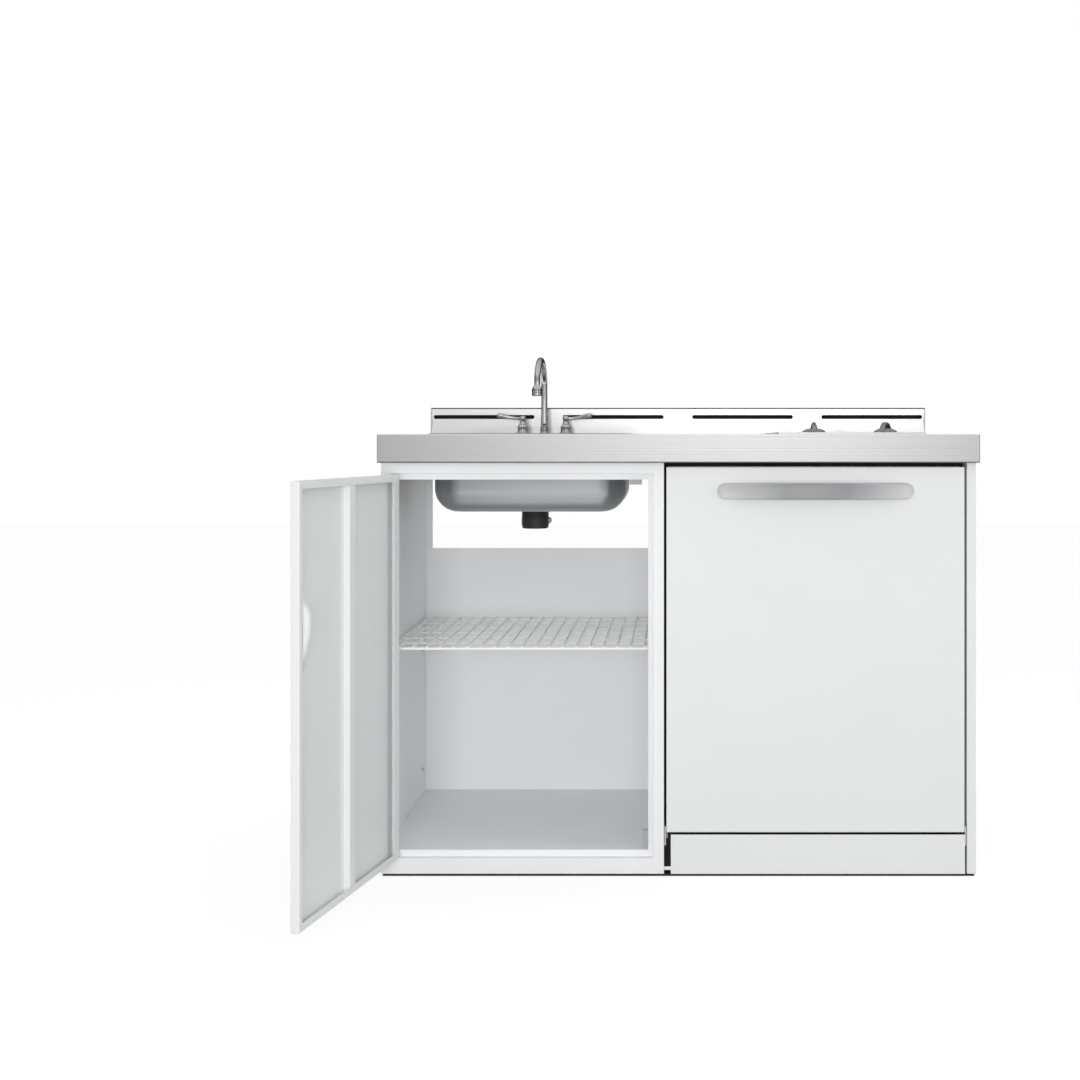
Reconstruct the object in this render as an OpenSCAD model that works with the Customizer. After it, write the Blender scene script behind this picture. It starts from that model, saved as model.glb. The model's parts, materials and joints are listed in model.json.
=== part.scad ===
// Kitchenette unit: sink cabinet, built-in dishwasher, steel worktop, smooth hob. Millimetres.
// X to the right, Y to the back, Z up; the origin is the middle of the footprint, on the floor.

/* [Cabinet] */
// Width of the cabinet body
body_w = 1211; // [1150:1:1300]
// Depth of the cabinet body
body_d = 610; // [580:1:660]
// Height of the black plinth frame
plinth_h = 5; // [4:0.5:12]
// Distance of the plinth frame from the cabinet's outline
plinth_inset = 3; // [1:0.5:8]
// Width of the plinth frame's band
plinth_band = 30; // [20:1:50]
// Thickness of the cabinet's sheet steel
sheet_t = 1.5; // [1:0.1:2.5]
// Width of the boxed right end panel
end_panel_w = 18.5; // [15:0.5:30]
// Width of the sink cabinet, outside the partition
sink_cabinet_w = 576; // [560:1:600]
// Height of the cabinet floor above the room's floor
cabinet_floor_z = 50; // [40:1:70]
// Height of the back panel's upper edge
back_panel_top = 629; // [560:1:640]
// Width of the flange along the side panel's back edge
back_flange = 16; // [12:1:30]
// Height of the rails below the worktop
rail_h = 40; // [30:1:45]
// Depth of the front rail's upper flange
rail_lip = 10; // [6:0.5:10]
// Diameter of a screw head
screw_head_d = 8; // [6:0.5:10]

/* [Face frame] */
// Depth of the face frame
frame_d = 30; // [27:1:45]
// Width of the left stile up to the clear opening
stile_w = 32.5; // [29:0.5:50]
// Height of the top rail's visible part below the apron
top_rail_h = 35; // [30:1:50]
// Width of the rebate ledge at the hinge side of the opening
ledge_left = 14; // [10:1:18]
// Width of the rebate ledge at the catch side of the opening
ledge_right = 10; // [8:1:18]
// Width of the rebate ledge at the top and bottom
ledge_end = 13; // [8:1:18]

/* [Worktop] */
// Height of the worktop above the floor
worktop_h = 900; // [850:1:950]
// Overhang of the worktop past the cabinet's sides
side_overhang = 4; // [2.5:0.5:15]
// Overhang of the worktop past the cabinet's front
front_overhang = 25; // [15:1:40]
// Height of the worktop's apron
apron_h = 58; // [50:1:70]
// Thickness of the worktop's sheet
worktop_t = 2; // [1.5:0.1:3]
// Distance of the backsplash's ends from the worktop's ends
backsplash_inset = 18; // [10:1:40]
// Height of the backsplash above the worktop
backsplash_h = 65; // [55:1:100]
// Thickness of the backsplash box
backsplash_d = 14; // [12:1:20]
// Distance of the outer vent slots from the backsplash's ends
slot_end_gap = 8; // [6:1:20]
// Distance between two vent slots
slot_gap = 69; // [50:1:100]
// Height of a vent slot
slot_h = 9; // [5:0.5:12]
// Distance of a vent slot's middle below the backsplash's top
slot_drop = 22; // [14:1:30]

/* [Sink] */
// Middle of the sink, from the unit's middle
sink_x = -315; // [-340:1:-300]
// Middle of the sink, from the body's middle
sink_y = -20; // [-40:1:10]
// Width of the bowl inside
bowl_w = 405; // [360:1:420]
// Depth of the bowl inside, front to back
bowl_d = 355; // [300:1:380]
// Height of the bowl inside
bowl_h = 165; // [130:1:180]
// Corner radius of the bowl seen from above
bowl_r = 60; // [40:1:80]
// Thickness of the bowl's sheet
bowl_t = 1.5; // [1:0.1:2.5]
// Radius between the bowl's walls and its floor
bowl_floor_r = 48; // [30:1:55]
// Width of the bowl's rim
rim_w = 16; // [12:1:25]
// Height of the bowl's rim above the worktop
rim_h = 2; // [1:0.1:3]
// Diameter of the strainer's flange
strainer_flange_d = 85; // [75:1:110]
// Diameter of the hole in the bowl's floor
drain_hole_d = 54; // [50:1:56]
// Diameter of the drain body below the bowl
drain_body_d = 60; // [59:0.5:66]
// Height of the drain body below the bowl
drain_body_h = 42; // [40:1:60]
// Bore of the drain outlet
drain_bore_d = 38; // [32:1:40]

/* [Faucet] */
// Distance of the faucet's middle from the worktop's back edge
faucet_back = 70; // [60:1:80]
// Distance from the faucet's middle to a valve
valve_pitch = 50.8; // [48:0.1:101.6]
// Diameter of the centre base
spout_base_d = 27; // [24:1:34]
// Height of the centre base
spout_base_h = 12; // [8:1:20]
// Diameter of the spout's tube
spout_tube_d = 14; // [12:0.5:18]
// Radius of the gooseneck's bend
neck_r = 55; // [45:1:75]
// Height of the straight riser above the worktop
riser_h = 118; // [90:1:160]
// Length of the straight drop after the bend
drop_l = 5; // [4:1:30]
// Angle of the spout from straight ahead, to the left
spout_turn = 4; // [-30:1:30]
// Diameter of the aerator
aerator_d = 25; // [20:0.5:28]
// Length of the aerator
aerator_l = 24; // [18:1:30]
// Diameter of a valve's bell
bell_d = 34; // [30:1:45]
// Height of a valve's bell
bell_h = 24; // [18:1:35]
// Length of a lever handle from its stem
lever_l = 63; // [45:1:85]
// Diameter of the lever's rounded tip
lever_tip_d = 12; // [9:0.5:15]
// Diameter of the shanks' plain lower ends
shank_d = 12.5; // [12:0.5:15]
// Amount by which the thread through the worktop is wider than the plain end
thread_step = 1.5; // [1:0.5:3]
// Length of the shanks below the worktop
shank_l = 40; // [35:1:60]

/* [Hob] */
// Middle of the hob, from the unit's middle
hob_x = 354; // [330:1:380]
// Middle of the hob, from the body's middle
hob_y = -45; // [-55:1:-30]
// Width of the hob
hob_w = 300; // [290:1:320]
// Depth of the hob, front to back
hob_d = 510; // [480:1:520]
// Width of the hob's trim frame
hob_trim = 5; // [3:0.5:8]
// Thickness of the trim's ledge below the glass
hob_ledge = 0.8; // [0.6:0.1:2]
// Thickness of the glass
glass_t = 3; // [3:0.5:6]
// Diameter of the small radiant element
element_small_d = 150; // [140:1:160]
// Diameter of the large radiant element
element_large_d = 180; // [170:1:190]
// Height of the box below the hob
hob_box_h = 46; // [40:1:50]
// Spacing of the two knobs
knob_pitch = 148; // [120:1:160]
// Distance of the knobs from the worktop's front edge
knob_front = 80; // [70:1:95]
// Diameter of a knob's skirt
knob_d = 48; // [40:1:55]
// Height of a knob's skirt
knob_skirt_h = 6; // [5:0.5:10]
// Height of a knob in all
knob_h = 21; // [18:0.5:30]
// Angle by which the right knob stands turned from off
right_knob_turn = 35; // [0:1:90]
// Diameter of a switch spindle
spindle_d = 6; // [5:0.5:8]

/* [Cabinet door] */
// Angle at which the door stands open
door_open = 99.3; // [0:0.1:108]
// Thickness of the door
door_t = 16; // [14:0.5:22]
// Thickness of the door's sheet
door_sheet = 1.2; // [0.8:0.1:2]
// Gap round the closed door
door_gap = 2.5; // [1.5:0.1:4]
// Gap behind the closed door
door_back_gap = 2.5; // [1.5:0.1:4]
// Width of the door's inner lips
door_lip = 14; // [10:1:22]
// Width of the inner lip on the hinge side
hinge_lip = 32; // [24:1:45]
// Width of the door's central stiffener
stiffener_w = 30; // [20:1:45]
// Height of the recessed pull
pull_h = 131; // [90:1:160]
// Width of the recessed pull's mouth
pull_w = 34; // [26:1:45]
// Depth of the recessed pull
pull_d = 22; // [14:0.5:24]
// Distance of the pull's upper end below the door's top
pull_drop = 205; // [120:1:300]
// Distance of the pull from the door's free edge
pull_edge = 20; // [19:1:40]
// Length of a hinge
hinge_l = 60; // [40:1:80]
// Diameter of a hinge knuckle
knuckle_d = 7; // [6:0.5:8]
// Diameter of a hinge pin
pin_d = 3.5; // [3:0.1:4]
// Distance of the hinges from the door's ends
hinge_inset = 30; // [20:1:80]

/* [Shelf] */
// Height of the wire shelf
shelf_z = 462; // [380:1:560]
// Diameter of the shelf's wires
wire_d = 4; // [3:0.5:6]
// Diameter of the shelf's border wire
border_wire_d = 6; // [5:0.5:8]
// Spacing of the wires that run front to back
wire_pitch = 28; // [20:1:60]
// Spacing of the wires that run side to side
cross_pitch = 96; // [40:1:120]

/* [Dishwasher] */
// Gap between the dishwasher's door and its bay
bay_gap = 5; // [4:0.5:8]
// Gap at the left of the toe-kick
toe_gap_left = 14; // [8:1:20]
// Gap at the right of the toe-kick
toe_gap_right = 4; // [3:1:20]
// Height of the door's lower edge
appliance_door_z = 90; // [85:1:110]
// Gap between the door's upper edge and the worktop's apron
appliance_door_gap = 9; // [7:1:30]
// Thickness of the door's outer panel box
panel_box_t = 24; // [20:1:30]
// Thickness of the door's inner liner box
liner_box_t = 21; // [16:1:26]
// Diameter of the door's hinge pins
appliance_pin_d = 8; // [6:0.5:9]
// Wall of the tub
tub_t = 1.2; // [1:0.1:3]
// Height of the tub's lower face
tub_z = 118; // [110:1:130]
// Depth of the tub
tub_d = 505; // [460:1:520]
// Length of the bow handle
handle_l = 399; // [300:1:450]
// Height of the bow handle's strap
handle_h = 33; // [25:1:40]
// Distance that the handle stands out
handle_out = 40; // [34:1:50]
// Thickness of the handle's strap
handle_t = 9; // [7:0.5:12]
// Distance of the handle's middle below the door's upper edge
handle_drop = 49; // [30:1:90]
// Height of the lower rack's floor above the tub's lower face
lower_rack_rise = 85; // [80:1:100]
// Height of the upper rack's floor above the tub's lower face
upper_rack_rise = 400; // [360:1:430]
// Height of the lower rack
lower_rack_h = 140; // [110:1:180]
// Height of the upper rack
upper_rack_h = 120; // [90:1:150]
// Greatest spacing of a rack's wires
rack_pitch = 110; // [60:1:140]
// Gap between a rack and the tub's side
rack_side_gap = 22; // [20:1:30]
// Gap between a rack and the tub's front
rack_front_gap = 55; // [45:1:70]
// Gap between a rack and the tub's back
rack_back_gap = 35; // [30:1:50]
// Height of the lower spray arm above the tub's lower face
lower_arm_rise = 36; // [30:1:50]
// Distance of the upper spray arm below the upper rack
upper_arm_drop = 40; // [38:1:60]
// Length of the spray arms from tip to tip
spray_l = 460; // [400:1:480]
// Diameter of the sump
sump_d = 170; // [150:1:200]
// Travel of a button
button_travel = 1.2; // [0.8:0.1:2]
// Height of the detergent dispenser above the door's lower edge
dispenser_rise = 340; // [300:1:420]
// Width of the detergent dispenser
dispenser_w = 150; // [150:1:180]
// Height of the detergent dispenser
dispenser_h = 110; // [100:1:130]

/* [Clearances] */
// Running clearance of a pin in its bore
pin_clear = 0.05; // [0.03:0.01:0.1]
// Gap between pieces that lie against each other and move
seat_gap = 0.3; // [0.2:0.05:0.5]
// Gap between a moving piece and what it passes
run_gap = 2; // [1:0.1:3]

/* [Hidden] */
$fn = 64;

white = [0.93, 0.94, 0.94];
steel = [0.72, 0.73, 0.74];
dull_steel = [0.45, 0.47, 0.48];
chrome = [0.80, 0.81, 0.83];
black = [0.06, 0.06, 0.07];
grey = [0.55, 0.56, 0.57];

// Cabinet outline
left_x = -body_w / 2;
right_x = body_w / 2;
front_y = -body_d / 2;
back_y = body_d / 2;
top_z = worktop_h - worktop_t;
apron_z = worktop_h - apron_h;
partition_x = left_x + sink_cabinet_w;
bay_x0 = partition_x;
bay_x1 = right_x - end_panel_w;
bay_x = (bay_x0 + bay_x1) / 2;
frame_back = front_y + frame_d;

// Clear opening and rebate of the face frame
open_x0 = left_x + stile_w;
open_x1 = partition_x - stile_w;
open_z0 = cabinet_floor_z;
open_z1 = apron_z - top_rail_h;
rebate_x0 = open_x0 - ledge_left;
rebate_x1 = open_x1 + ledge_right;
rebate_z0 = open_z0 - ledge_end;
rebate_z1 = open_z1 + ledge_end;
rebate_y = front_y + door_t + door_back_gap;

// Cabinet door, closed
door_x0 = rebate_x0 + door_gap;
door_x1 = rebate_x1 - door_gap;
door_z0 = rebate_z0 + door_gap;
door_z1 = rebate_z1 - door_gap;
door_back = front_y + door_t;
leaf_t = 0.9;
leaf_d = 11;
pivot_x = rebate_x0 + door_gap / 2;
pivot_y = front_y - knuckle_d / 2 - seat_gap;
hinge_z = [door_z0 + hinge_inset, door_z1 - hinge_inset - hinge_l];

// Worktop
worktop_x = body_w / 2 + side_overhang;
worktop_front = front_y - front_overhang;
bowl_hole_w = bowl_w + 2 * bowl_t + 2;
bowl_hole_d = bowl_d + 2 * bowl_t + 2;
bowl_hole_r = bowl_r + bowl_t + 1;
backsplash_x = worktop_x - backsplash_inset;
backsplash_y = back_y - backsplash_d;
slot_l = (2 * backsplash_x - 2 * slot_end_gap - 3 * slot_gap) / 4;
slot_pitch = slot_l + slot_gap;
slot_r = slot_h / 2 - 0.5;
bowl_z0 = worktop_h + rim_h - bowl_t - bowl_h;

// Faucet
faucet_y = back_y - faucet_back;
thread_d = shank_d + thread_step;
shank_hole_d = thread_d + 1.5;
shank_bore_d = shank_d - 4;
socket_z = worktop_h + 2;
washer_d = bell_d - 4;
washer_t = 2;
nut_d = 25;
nut_h = 8;
nut_z0 = top_z - washer_t - nut_h;
neck_z = worktop_h + riser_h;
stem_d = 10;
stem_h = 21;
lever_rise = 8;
lever_ball_d = stem_d + 5;
lever_axis_z = worktop_h + bell_h + stem_h - 7;

// Hob
knob_y = worktop_front + knob_front;
hob_clear = 1;
hob_lip = hob_ledge + glass_t;
hob_wall = 4;
hob_overlap = 7;
hob_hole_w = hob_w - 2 * hob_overlap;
hob_hole_d = hob_d - 2 * hob_overlap;
hob_drop = 6;
glass_z = worktop_h + hob_lip - glass_t;
element_h = 14;
element_under_glass = 2;
element_front_gap = 90;
element_back_gap = 22;
element_front_y = hob_y - hob_d / 2 + element_front_gap + element_small_d / 2;
element_back_y = hob_y + hob_d / 2 - element_back_gap - element_large_d / 2;
knob_gap = 0.5;
knob_base = worktop_h + hob_lip + knob_gap;
knob_skin = 6;
knob_grip_t = 10;
switch_w = 40;
switch_h = 22;

// Dishwasher
unit_x0 = bay_x0 + bay_gap;
unit_x1 = bay_x1 - bay_gap;
appliance_door_top = apron_z - appliance_door_gap;
handle_z = appliance_door_top - handle_drop;
panel_front = front_y - 2;
panel_back = panel_front + panel_box_t;
liner_back = panel_back + liner_box_t;
gasket_t = 4;
tub_front = liner_back + seat_gap + gasket_t;
tub_gap = 8;
tub_x0 = bay_x0 + tub_gap;
tub_x1 = bay_x1 - tub_gap;
tub_top = apron_z - 8;
tub_back = tub_front + tub_d;
tub_lip = 22;
tub_open_z0 = tub_z + 27;
spray_x = bay_x;
spray_y = (tub_front + tub_back) / 2;
appliance_pivot_y = panel_front + 7;
appliance_pivot_z = appliance_door_z + 5;
bracket_t = 3;
bracket_x = [bay_x0 + 1, bay_x1 - 1 - bracket_t];
pin_reach = 10;
strip_h = 6;
button_y = (panel_front + liner_back) / 2;
button_w = 16;
button_d = 9;
button_clear = 0.4;
button_x = [unit_x0 + 90, unit_x1 - 90];
dispenser_z = appliance_door_z + dispenser_rise;
dispenser_d = 16;
dispenser_wall = 8;
lid_w = 62;
lid_h = 70;
lid_t = 4;
rack_x0 = tub_x0 + tub_t + rack_side_gap;
rack_x1 = tub_x1 - tub_t - rack_side_gap;
rack_y0 = tub_front + rack_front_gap;
rack_y1 = tub_back - rack_back_gap;
rack_w = rack_x1 - rack_x0;
rack_d = rack_y1 - rack_y0;
lower_rack_z = tub_z + lower_rack_rise;
upper_rack_z = tub_z + upper_rack_rise;
rack_wire = 4;
hub_d = 40;
hub_bore_d = 18;
arm_t = 12;
arm_w = 30;
arm_skin = 2;
arm_turn = 12;
lower_arm_z = tub_z + lower_arm_rise;
upper_arm_z = upper_rack_z - upper_arm_drop;
feed_d = 16;

// A block between two corners
module block(x0, x1, y0, y1, z0, z1) {
    translate([x0, y0, z0]) cube([x1 - x0, y1 - y0, z1 - z0]);
}

// A rectangle with round corners, centred
module rounded_rect(w, d, r) {
    square([w - 2 * r, d], center = true);
    square([w, d - 2 * r], center = true);
    for (sx = [-1, 1], sy = [-1, 1])
        translate([sx * (w / 2 - r), sy * (d / 2 - r)]) circle(r);
}

// A rectangle centred on x whose two lower corners are round
module round_bottomed(w, h, f) {
    translate([-w / 2, f]) square([w, h - f]);
    translate([-w / 2 + f, 0]) square([w - 2 * f, h]);
    for (s = [-1, 1]) translate([s * (w / 2 - f), f]) circle(f);
}

// A basin's solid: upright corners of radius r, floor edges of radius f
module basin(w, d, h, r, f) {
    for (sx = [-1, 1], sy = [-1, 1])
        translate([sx * (w / 2 - r), sy * (d / 2 - r), 0]) rotate_extrude() {
            square([r - f, h]);
            translate([0, f]) square([r, h - f]);
            translate([r - f, f]) intersection() {
                circle(f);
                translate([0, -f]) square([f, 2 * f]);
            }
        }
    translate([0, (d - 2 * r) / 2, 0]) rotate([90, 0, 0])
        linear_extrude(d - 2 * r) round_bottomed(w, h, f);
    translate([-(w - 2 * r) / 2, 0, 0]) rotate([90, 0, 90])
        linear_extrude(w - 2 * r) round_bottomed(d, h, f);
}

// A straight wire between two points, of eight sides
module wire(a, b, d) {
    v = b - a;
    translate(a) rotate([0, acos(v[2] / norm(v)), atan2(v[1], v[0])])
        cylinder(d = d, h = norm(v), $fn = 8);
}

// Turns the closed cabinet door to where it stands open
module opened() {
    translate([pivot_x, pivot_y, 0]) rotate([0, 0, -door_open])
        translate([-pivot_x, -pivot_y, 0]) children();
}

// ---- Cabinet ----

module plinth_frame() {
    color(black) difference() {
        block(left_x + plinth_inset, right_x - plinth_inset,
              front_y + plinth_inset, back_y - plinth_inset, 0, plinth_h);
        block(left_x + plinth_inset + plinth_band, right_x - plinth_inset - plinth_band,
              front_y + plinth_inset + plinth_band, back_y - plinth_inset - plinth_band,
              -1, plinth_h + 1);
    }
}

module left_side_panel() {
    color(white) {
        block(left_x, left_x + sheet_t, frame_back, back_y, plinth_h, top_z);
        block(left_x, left_x + sheet_t + back_flange, back_y - sheet_t, back_y, plinth_h, top_z);
    }
}

module centre_partition() {
    color(white) {
        block(partition_x - sheet_t, partition_x, frame_back, back_y, plinth_h, top_z);
        block(partition_x - sheet_t - back_flange, partition_x, back_y - sheet_t, back_y,
              plinth_h, top_z);
    }
}

module right_end_panel() {
    color(white) difference() {
        block(bay_x1, right_x, front_y, back_y, plinth_h, top_z);
        block(bay_x1 + sheet_t, right_x - sheet_t, front_y + sheet_t, back_y + 1,
              plinth_h + sheet_t, top_z - sheet_t);
    }
}

module front_frame() {
    color(white) difference() {
        block(left_x, partition_x, front_y, frame_back, plinth_h, top_z);
        // clear opening
        block(open_x0, open_x1, front_y - 1, frame_back + 1, open_z0, open_z1);
        // rebate that takes the door
        block(rebate_x0, rebate_x1, front_y - 1, rebate_y, rebate_z0, rebate_z1);
        // hollow behind the sheet, open to the back
        difference() {
            block(left_x + sheet_t, partition_x - sheet_t, front_y + sheet_t, frame_back + 1,
                  plinth_h + sheet_t, top_z - sheet_t);
            block(rebate_x0 - sheet_t, rebate_x1 + sheet_t, front_y, rebate_y + sheet_t,
                  rebate_z0 - sheet_t, rebate_z1 + sheet_t);
            block(open_x0 - sheet_t, open_x1 + sheet_t, front_y, frame_back + 2,
                  open_z0 - sheet_t, open_z1 + sheet_t);
        }
    }
}

module cabinet_floor() {
    color(white) {
        block(left_x + sheet_t, partition_x - sheet_t, frame_back, back_y - sheet_t,
              cabinet_floor_z - sheet_t, cabinet_floor_z);
        for (y = [frame_back, back_y - 2 * sheet_t])
            block(left_x + sheet_t, partition_x - sheet_t, y, y + sheet_t,
                  plinth_h, cabinet_floor_z - sheet_t);
    }
}

module back_panel() {
    color(white) block(left_x + sheet_t, partition_x - sheet_t,
                       back_y - 2 * sheet_t, back_y - sheet_t, cabinet_floor_z, back_panel_top);
}

module angle_rail(x0, x1, y0, y1, upright_y) {
    block(x0, x1, y0, y1, top_z - sheet_t, top_z);
    block(x0, x1, upright_y, upright_y + sheet_t, top_z - rail_h, top_z - sheet_t);
}

module worktop_rails() {
    color(white) {
        angle_rail(bay_x0, bay_x1, front_y, front_y + rail_lip, front_y);
        angle_rail(bay_x0, bay_x1, back_y - rail_h, back_y, back_y - sheet_t);
        angle_rail(left_x + sheet_t + back_flange, partition_x - sheet_t - back_flange,
                   back_y - rail_h, back_y, back_y - sheet_t);
    }
}

module rounded_hole(x, y, w, d, r, z0, z1) {
    translate([x, y, z0]) linear_extrude(z1 - z0) rounded_rect(w, d, r);
}

module worktop() {
    color(steel) difference() {
        block(-worktop_x, worktop_x, worktop_front, back_y, apron_z, worktop_h);
        block(-worktop_x + worktop_t, worktop_x - worktop_t, worktop_front + worktop_t,
              back_y + 1, apron_z - 1, top_z);
        rounded_hole(sink_x, sink_y, bowl_hole_w, bowl_hole_d, bowl_hole_r,
                     top_z - 1, worktop_h + 1);
        block(hob_x - hob_hole_w / 2, hob_x + hob_hole_w / 2,
              hob_y - hob_hole_d / 2, hob_y + hob_hole_d / 2, top_z - 1, worktop_h + 1);
        for (s = [-1, 0, 1]) translate([sink_x + s * valve_pitch, faucet_y, top_z - 1])
            cylinder(d = shank_hole_d, h = worktop_t + 2);
    }
}

module backsplash() {
    color(steel) difference() {
        block(-backsplash_x, backsplash_x, backsplash_y, back_y,
              worktop_h, worktop_h + backsplash_h);
        // closed hollow that the slots lead into
        block(-backsplash_x + worktop_t, backsplash_x - worktop_t,
              backsplash_y + worktop_t, back_y - worktop_t, worktop_h + worktop_t,
              worktop_h + backsplash_h - worktop_t);
        for (i = [-1.5:1:1.5])
            translate([i * slot_pitch, backsplash_y - 1, worktop_h + backsplash_h - slot_drop])
                rotate([-90, 0, 0]) linear_extrude(worktop_t + 2)
                    rounded_rect(slot_l, slot_h, slot_r);
    }
}

// ---- Sink ----

module sink_bowl() {
    color(dull_steel) difference() {
        union() {
            translate([sink_x, sink_y, bowl_z0])
                basin(bowl_w + 2 * bowl_t, bowl_d + 2 * bowl_t,
                      worktop_h + rim_h - bowl_z0, bowl_r + bowl_t, bowl_floor_r + bowl_t);
            rounded_hole(sink_x, sink_y, bowl_w + 2 * rim_w, bowl_d + 2 * rim_w,
                         bowl_r + rim_w, worktop_h, worktop_h + rim_h);
        }
        translate([sink_x, sink_y, bowl_z0 + bowl_t])
            basin(bowl_w, bowl_d, bowl_h + 1, bowl_r, bowl_floor_r);
        translate([sink_x, sink_y, bowl_z0 - 1]) cylinder(d = drain_hole_d, h = bowl_t + 2);
    }
}

// Values that the drain pieces share
strainer_wall = 2;
strainer_depth = 34;
strainer_d = drain_hole_d - 1.5;
flange_t = 1.5;
gasket_h = 3;
bowl_floor_z = bowl_z0 + bowl_t;
strainer_bottom = bowl_floor_z - strainer_depth;
outlet_z0 = bowl_z0 - drain_body_h;
side_nut_z = outlet_z0 + 18;
basket_gap = 2.5;
basket_h = 25;
grip_h = 32;

module strainer_body() {
    color(chrome) translate([sink_x, sink_y, 0]) difference() {
        union() {
            translate([0, 0, bowl_floor_z]) cylinder(d = strainer_flange_d, h = flange_t);
            translate([0, 0, strainer_bottom]) cylinder(d = strainer_d, h = strainer_depth);
        }
        translate([0, 0, strainer_bottom + strainer_wall])
            cylinder(d = strainer_d - 2 * strainer_wall, h = strainer_depth + 5);
        translate([0, 0, strainer_bottom - 1]) cylinder(d = drain_bore_d - 6, h = 10);
    }
}

module strainer_gasket() {
    color(black) translate([sink_x, sink_y, bowl_z0 - gasket_h]) difference() {
        cylinder(d = drain_body_d, h = gasket_h);
        translate([0, 0, -1]) cylinder(d = strainer_d, h = gasket_h + 2);
    }
}

// The black body that clamps the strainer from below; its bore takes the waste pipe
module drain_outlet() {
    color(black) translate([sink_x, sink_y, 0]) difference() {
        translate([0, 0, outlet_z0]) cylinder(d = drain_body_d, h = drain_body_h - gasket_h);
        translate([0, 0, strainer_bottom]) cylinder(d = strainer_d, h = drain_body_h);
        translate([0, 0, outlet_z0 - 1]) cylinder(d = drain_bore_d, h = drain_body_h);
    }
    // small hexagonal nut on its side
    color(grey) translate([sink_x + drain_body_d / 2 - 1, sink_y, side_nut_z])
        rotate([0, 90, 0]) cylinder(d = 14, h = 7, $fn = 6);
}

module strainer_basket() {
    basket_d = strainer_d - 2 * strainer_wall - 2 * basket_gap;
    color(chrome) translate([sink_x, sink_y, strainer_bottom + strainer_wall + seat_gap]) {
        difference() {
            cylinder(d = basket_d, h = basket_h);
            translate([0, 0, 3]) cylinder(d = basket_d - 3, h = basket_h);
            for (a = [0:30:330]) rotate([0, 0, a]) translate([basket_d / 2 - 5, -1.5, 7])
                cube([10, 3, basket_h - 13]);
        }
        cylinder(d = 6, h = grip_h);
        translate([0, 0, grip_h]) cylinder(d1 = 12, d2 = 18, h = 6);
    }
}

// ---- Faucet ----

// A shank: a thread through the worktop and its nut, with a plain end below
module shank() {
    translate([0, 0, top_z - shank_l]) cylinder(d = shank_d, h = shank_l);
    translate([0, 0, nut_z0]) cylinder(d = thread_d, h = socket_z - nut_z0);
}

module spout_base() {
    color(chrome) translate([sink_x, faucet_y, 0]) difference() {
        union() {
            translate([0, 0, worktop_h]) cylinder(d = spout_base_d, h = 4);
            translate([0, 0, worktop_h + 4])
                cylinder(d1 = spout_base_d - 2, d2 = spout_tube_d + 7, h = spout_base_h - 4);
            shank();
        }
        translate([0, 0, top_z - shank_l - 1])
            cylinder(d = shank_bore_d, h = shank_l + worktop_t + spout_base_h + 2);
        translate([0, 0, socket_z]) cylinder(d = spout_tube_d + 2 * pin_clear, h = spout_base_h);
    }
}

bell_foot_h = 5;
bell_socket_h = 12;

module valve_bells() {
    color(chrome) for (s = [-1, 1])
        translate([sink_x + s * valve_pitch, faucet_y, 0]) difference() {
            union() {
                translate([0, 0, worktop_h]) cylinder(d = bell_d, h = bell_foot_h);
                translate([0, 0, worktop_h + bell_foot_h])
                    cylinder(d1 = bell_d - 3, d2 = stem_d + 8, h = bell_h - bell_foot_h);
                shank();
            }
            translate([0, 0, worktop_h + bell_h - bell_socket_h])
                cylinder(d = stem_d + 2 * pin_clear, h = bell_socket_h + 1);
        }
}

module faucet_nuts() {
    color("goldenrod") for (s = [-1, 0, 1])
        translate([sink_x + s * valve_pitch, faucet_y, 0]) difference() {
            union() {
                translate([0, 0, top_z - washer_t]) cylinder(d = washer_d, h = washer_t);
                translate([0, 0, nut_z0]) cylinder(d = nut_d, h = nut_h, $fn = 6);
            }
            translate([0, 0, nut_z0 - 1]) cylinder(d = thread_d, h = nut_h + washer_t + 2);
        }
}

module faucet_spout() {
    color(chrome) translate([sink_x, faucet_y, 0]) rotate([0, 0, -spout_turn]) {
        translate([0, 0, socket_z + seat_gap])
            cylinder(d = spout_tube_d, h = neck_z - socket_z - seat_gap);
        // collar that covers the base's socket
        translate([0, 0, worktop_h + spout_base_h + seat_gap])
            cylinder(d1 = spout_tube_d + 6, d2 = spout_tube_d + 1, h = 14);
        translate([0, -neck_r, neck_z]) rotate([90, 0, 90])
            rotate_extrude(angle = 180) translate([neck_r, 0]) circle(d = spout_tube_d);
        translate([0, -2 * neck_r, neck_z - drop_l]) cylinder(d = spout_tube_d, h = drop_l);
    }
}

module aerator() {
    color(chrome) translate([sink_x, faucet_y, 0]) rotate([0, 0, -spout_turn])
        translate([0, -2 * neck_r, neck_z - drop_l - aerator_l]) difference() {
            union() {
                cylinder(d = aerator_d, h = aerator_l - 5);
                translate([0, 0, aerator_l - 5])
                    cylinder(d1 = aerator_d, d2 = spout_tube_d + 3, h = 5);
            }
            translate([0, 0, -1]) cylinder(d = aerator_d - 5, h = 7);
        }
}

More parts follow.
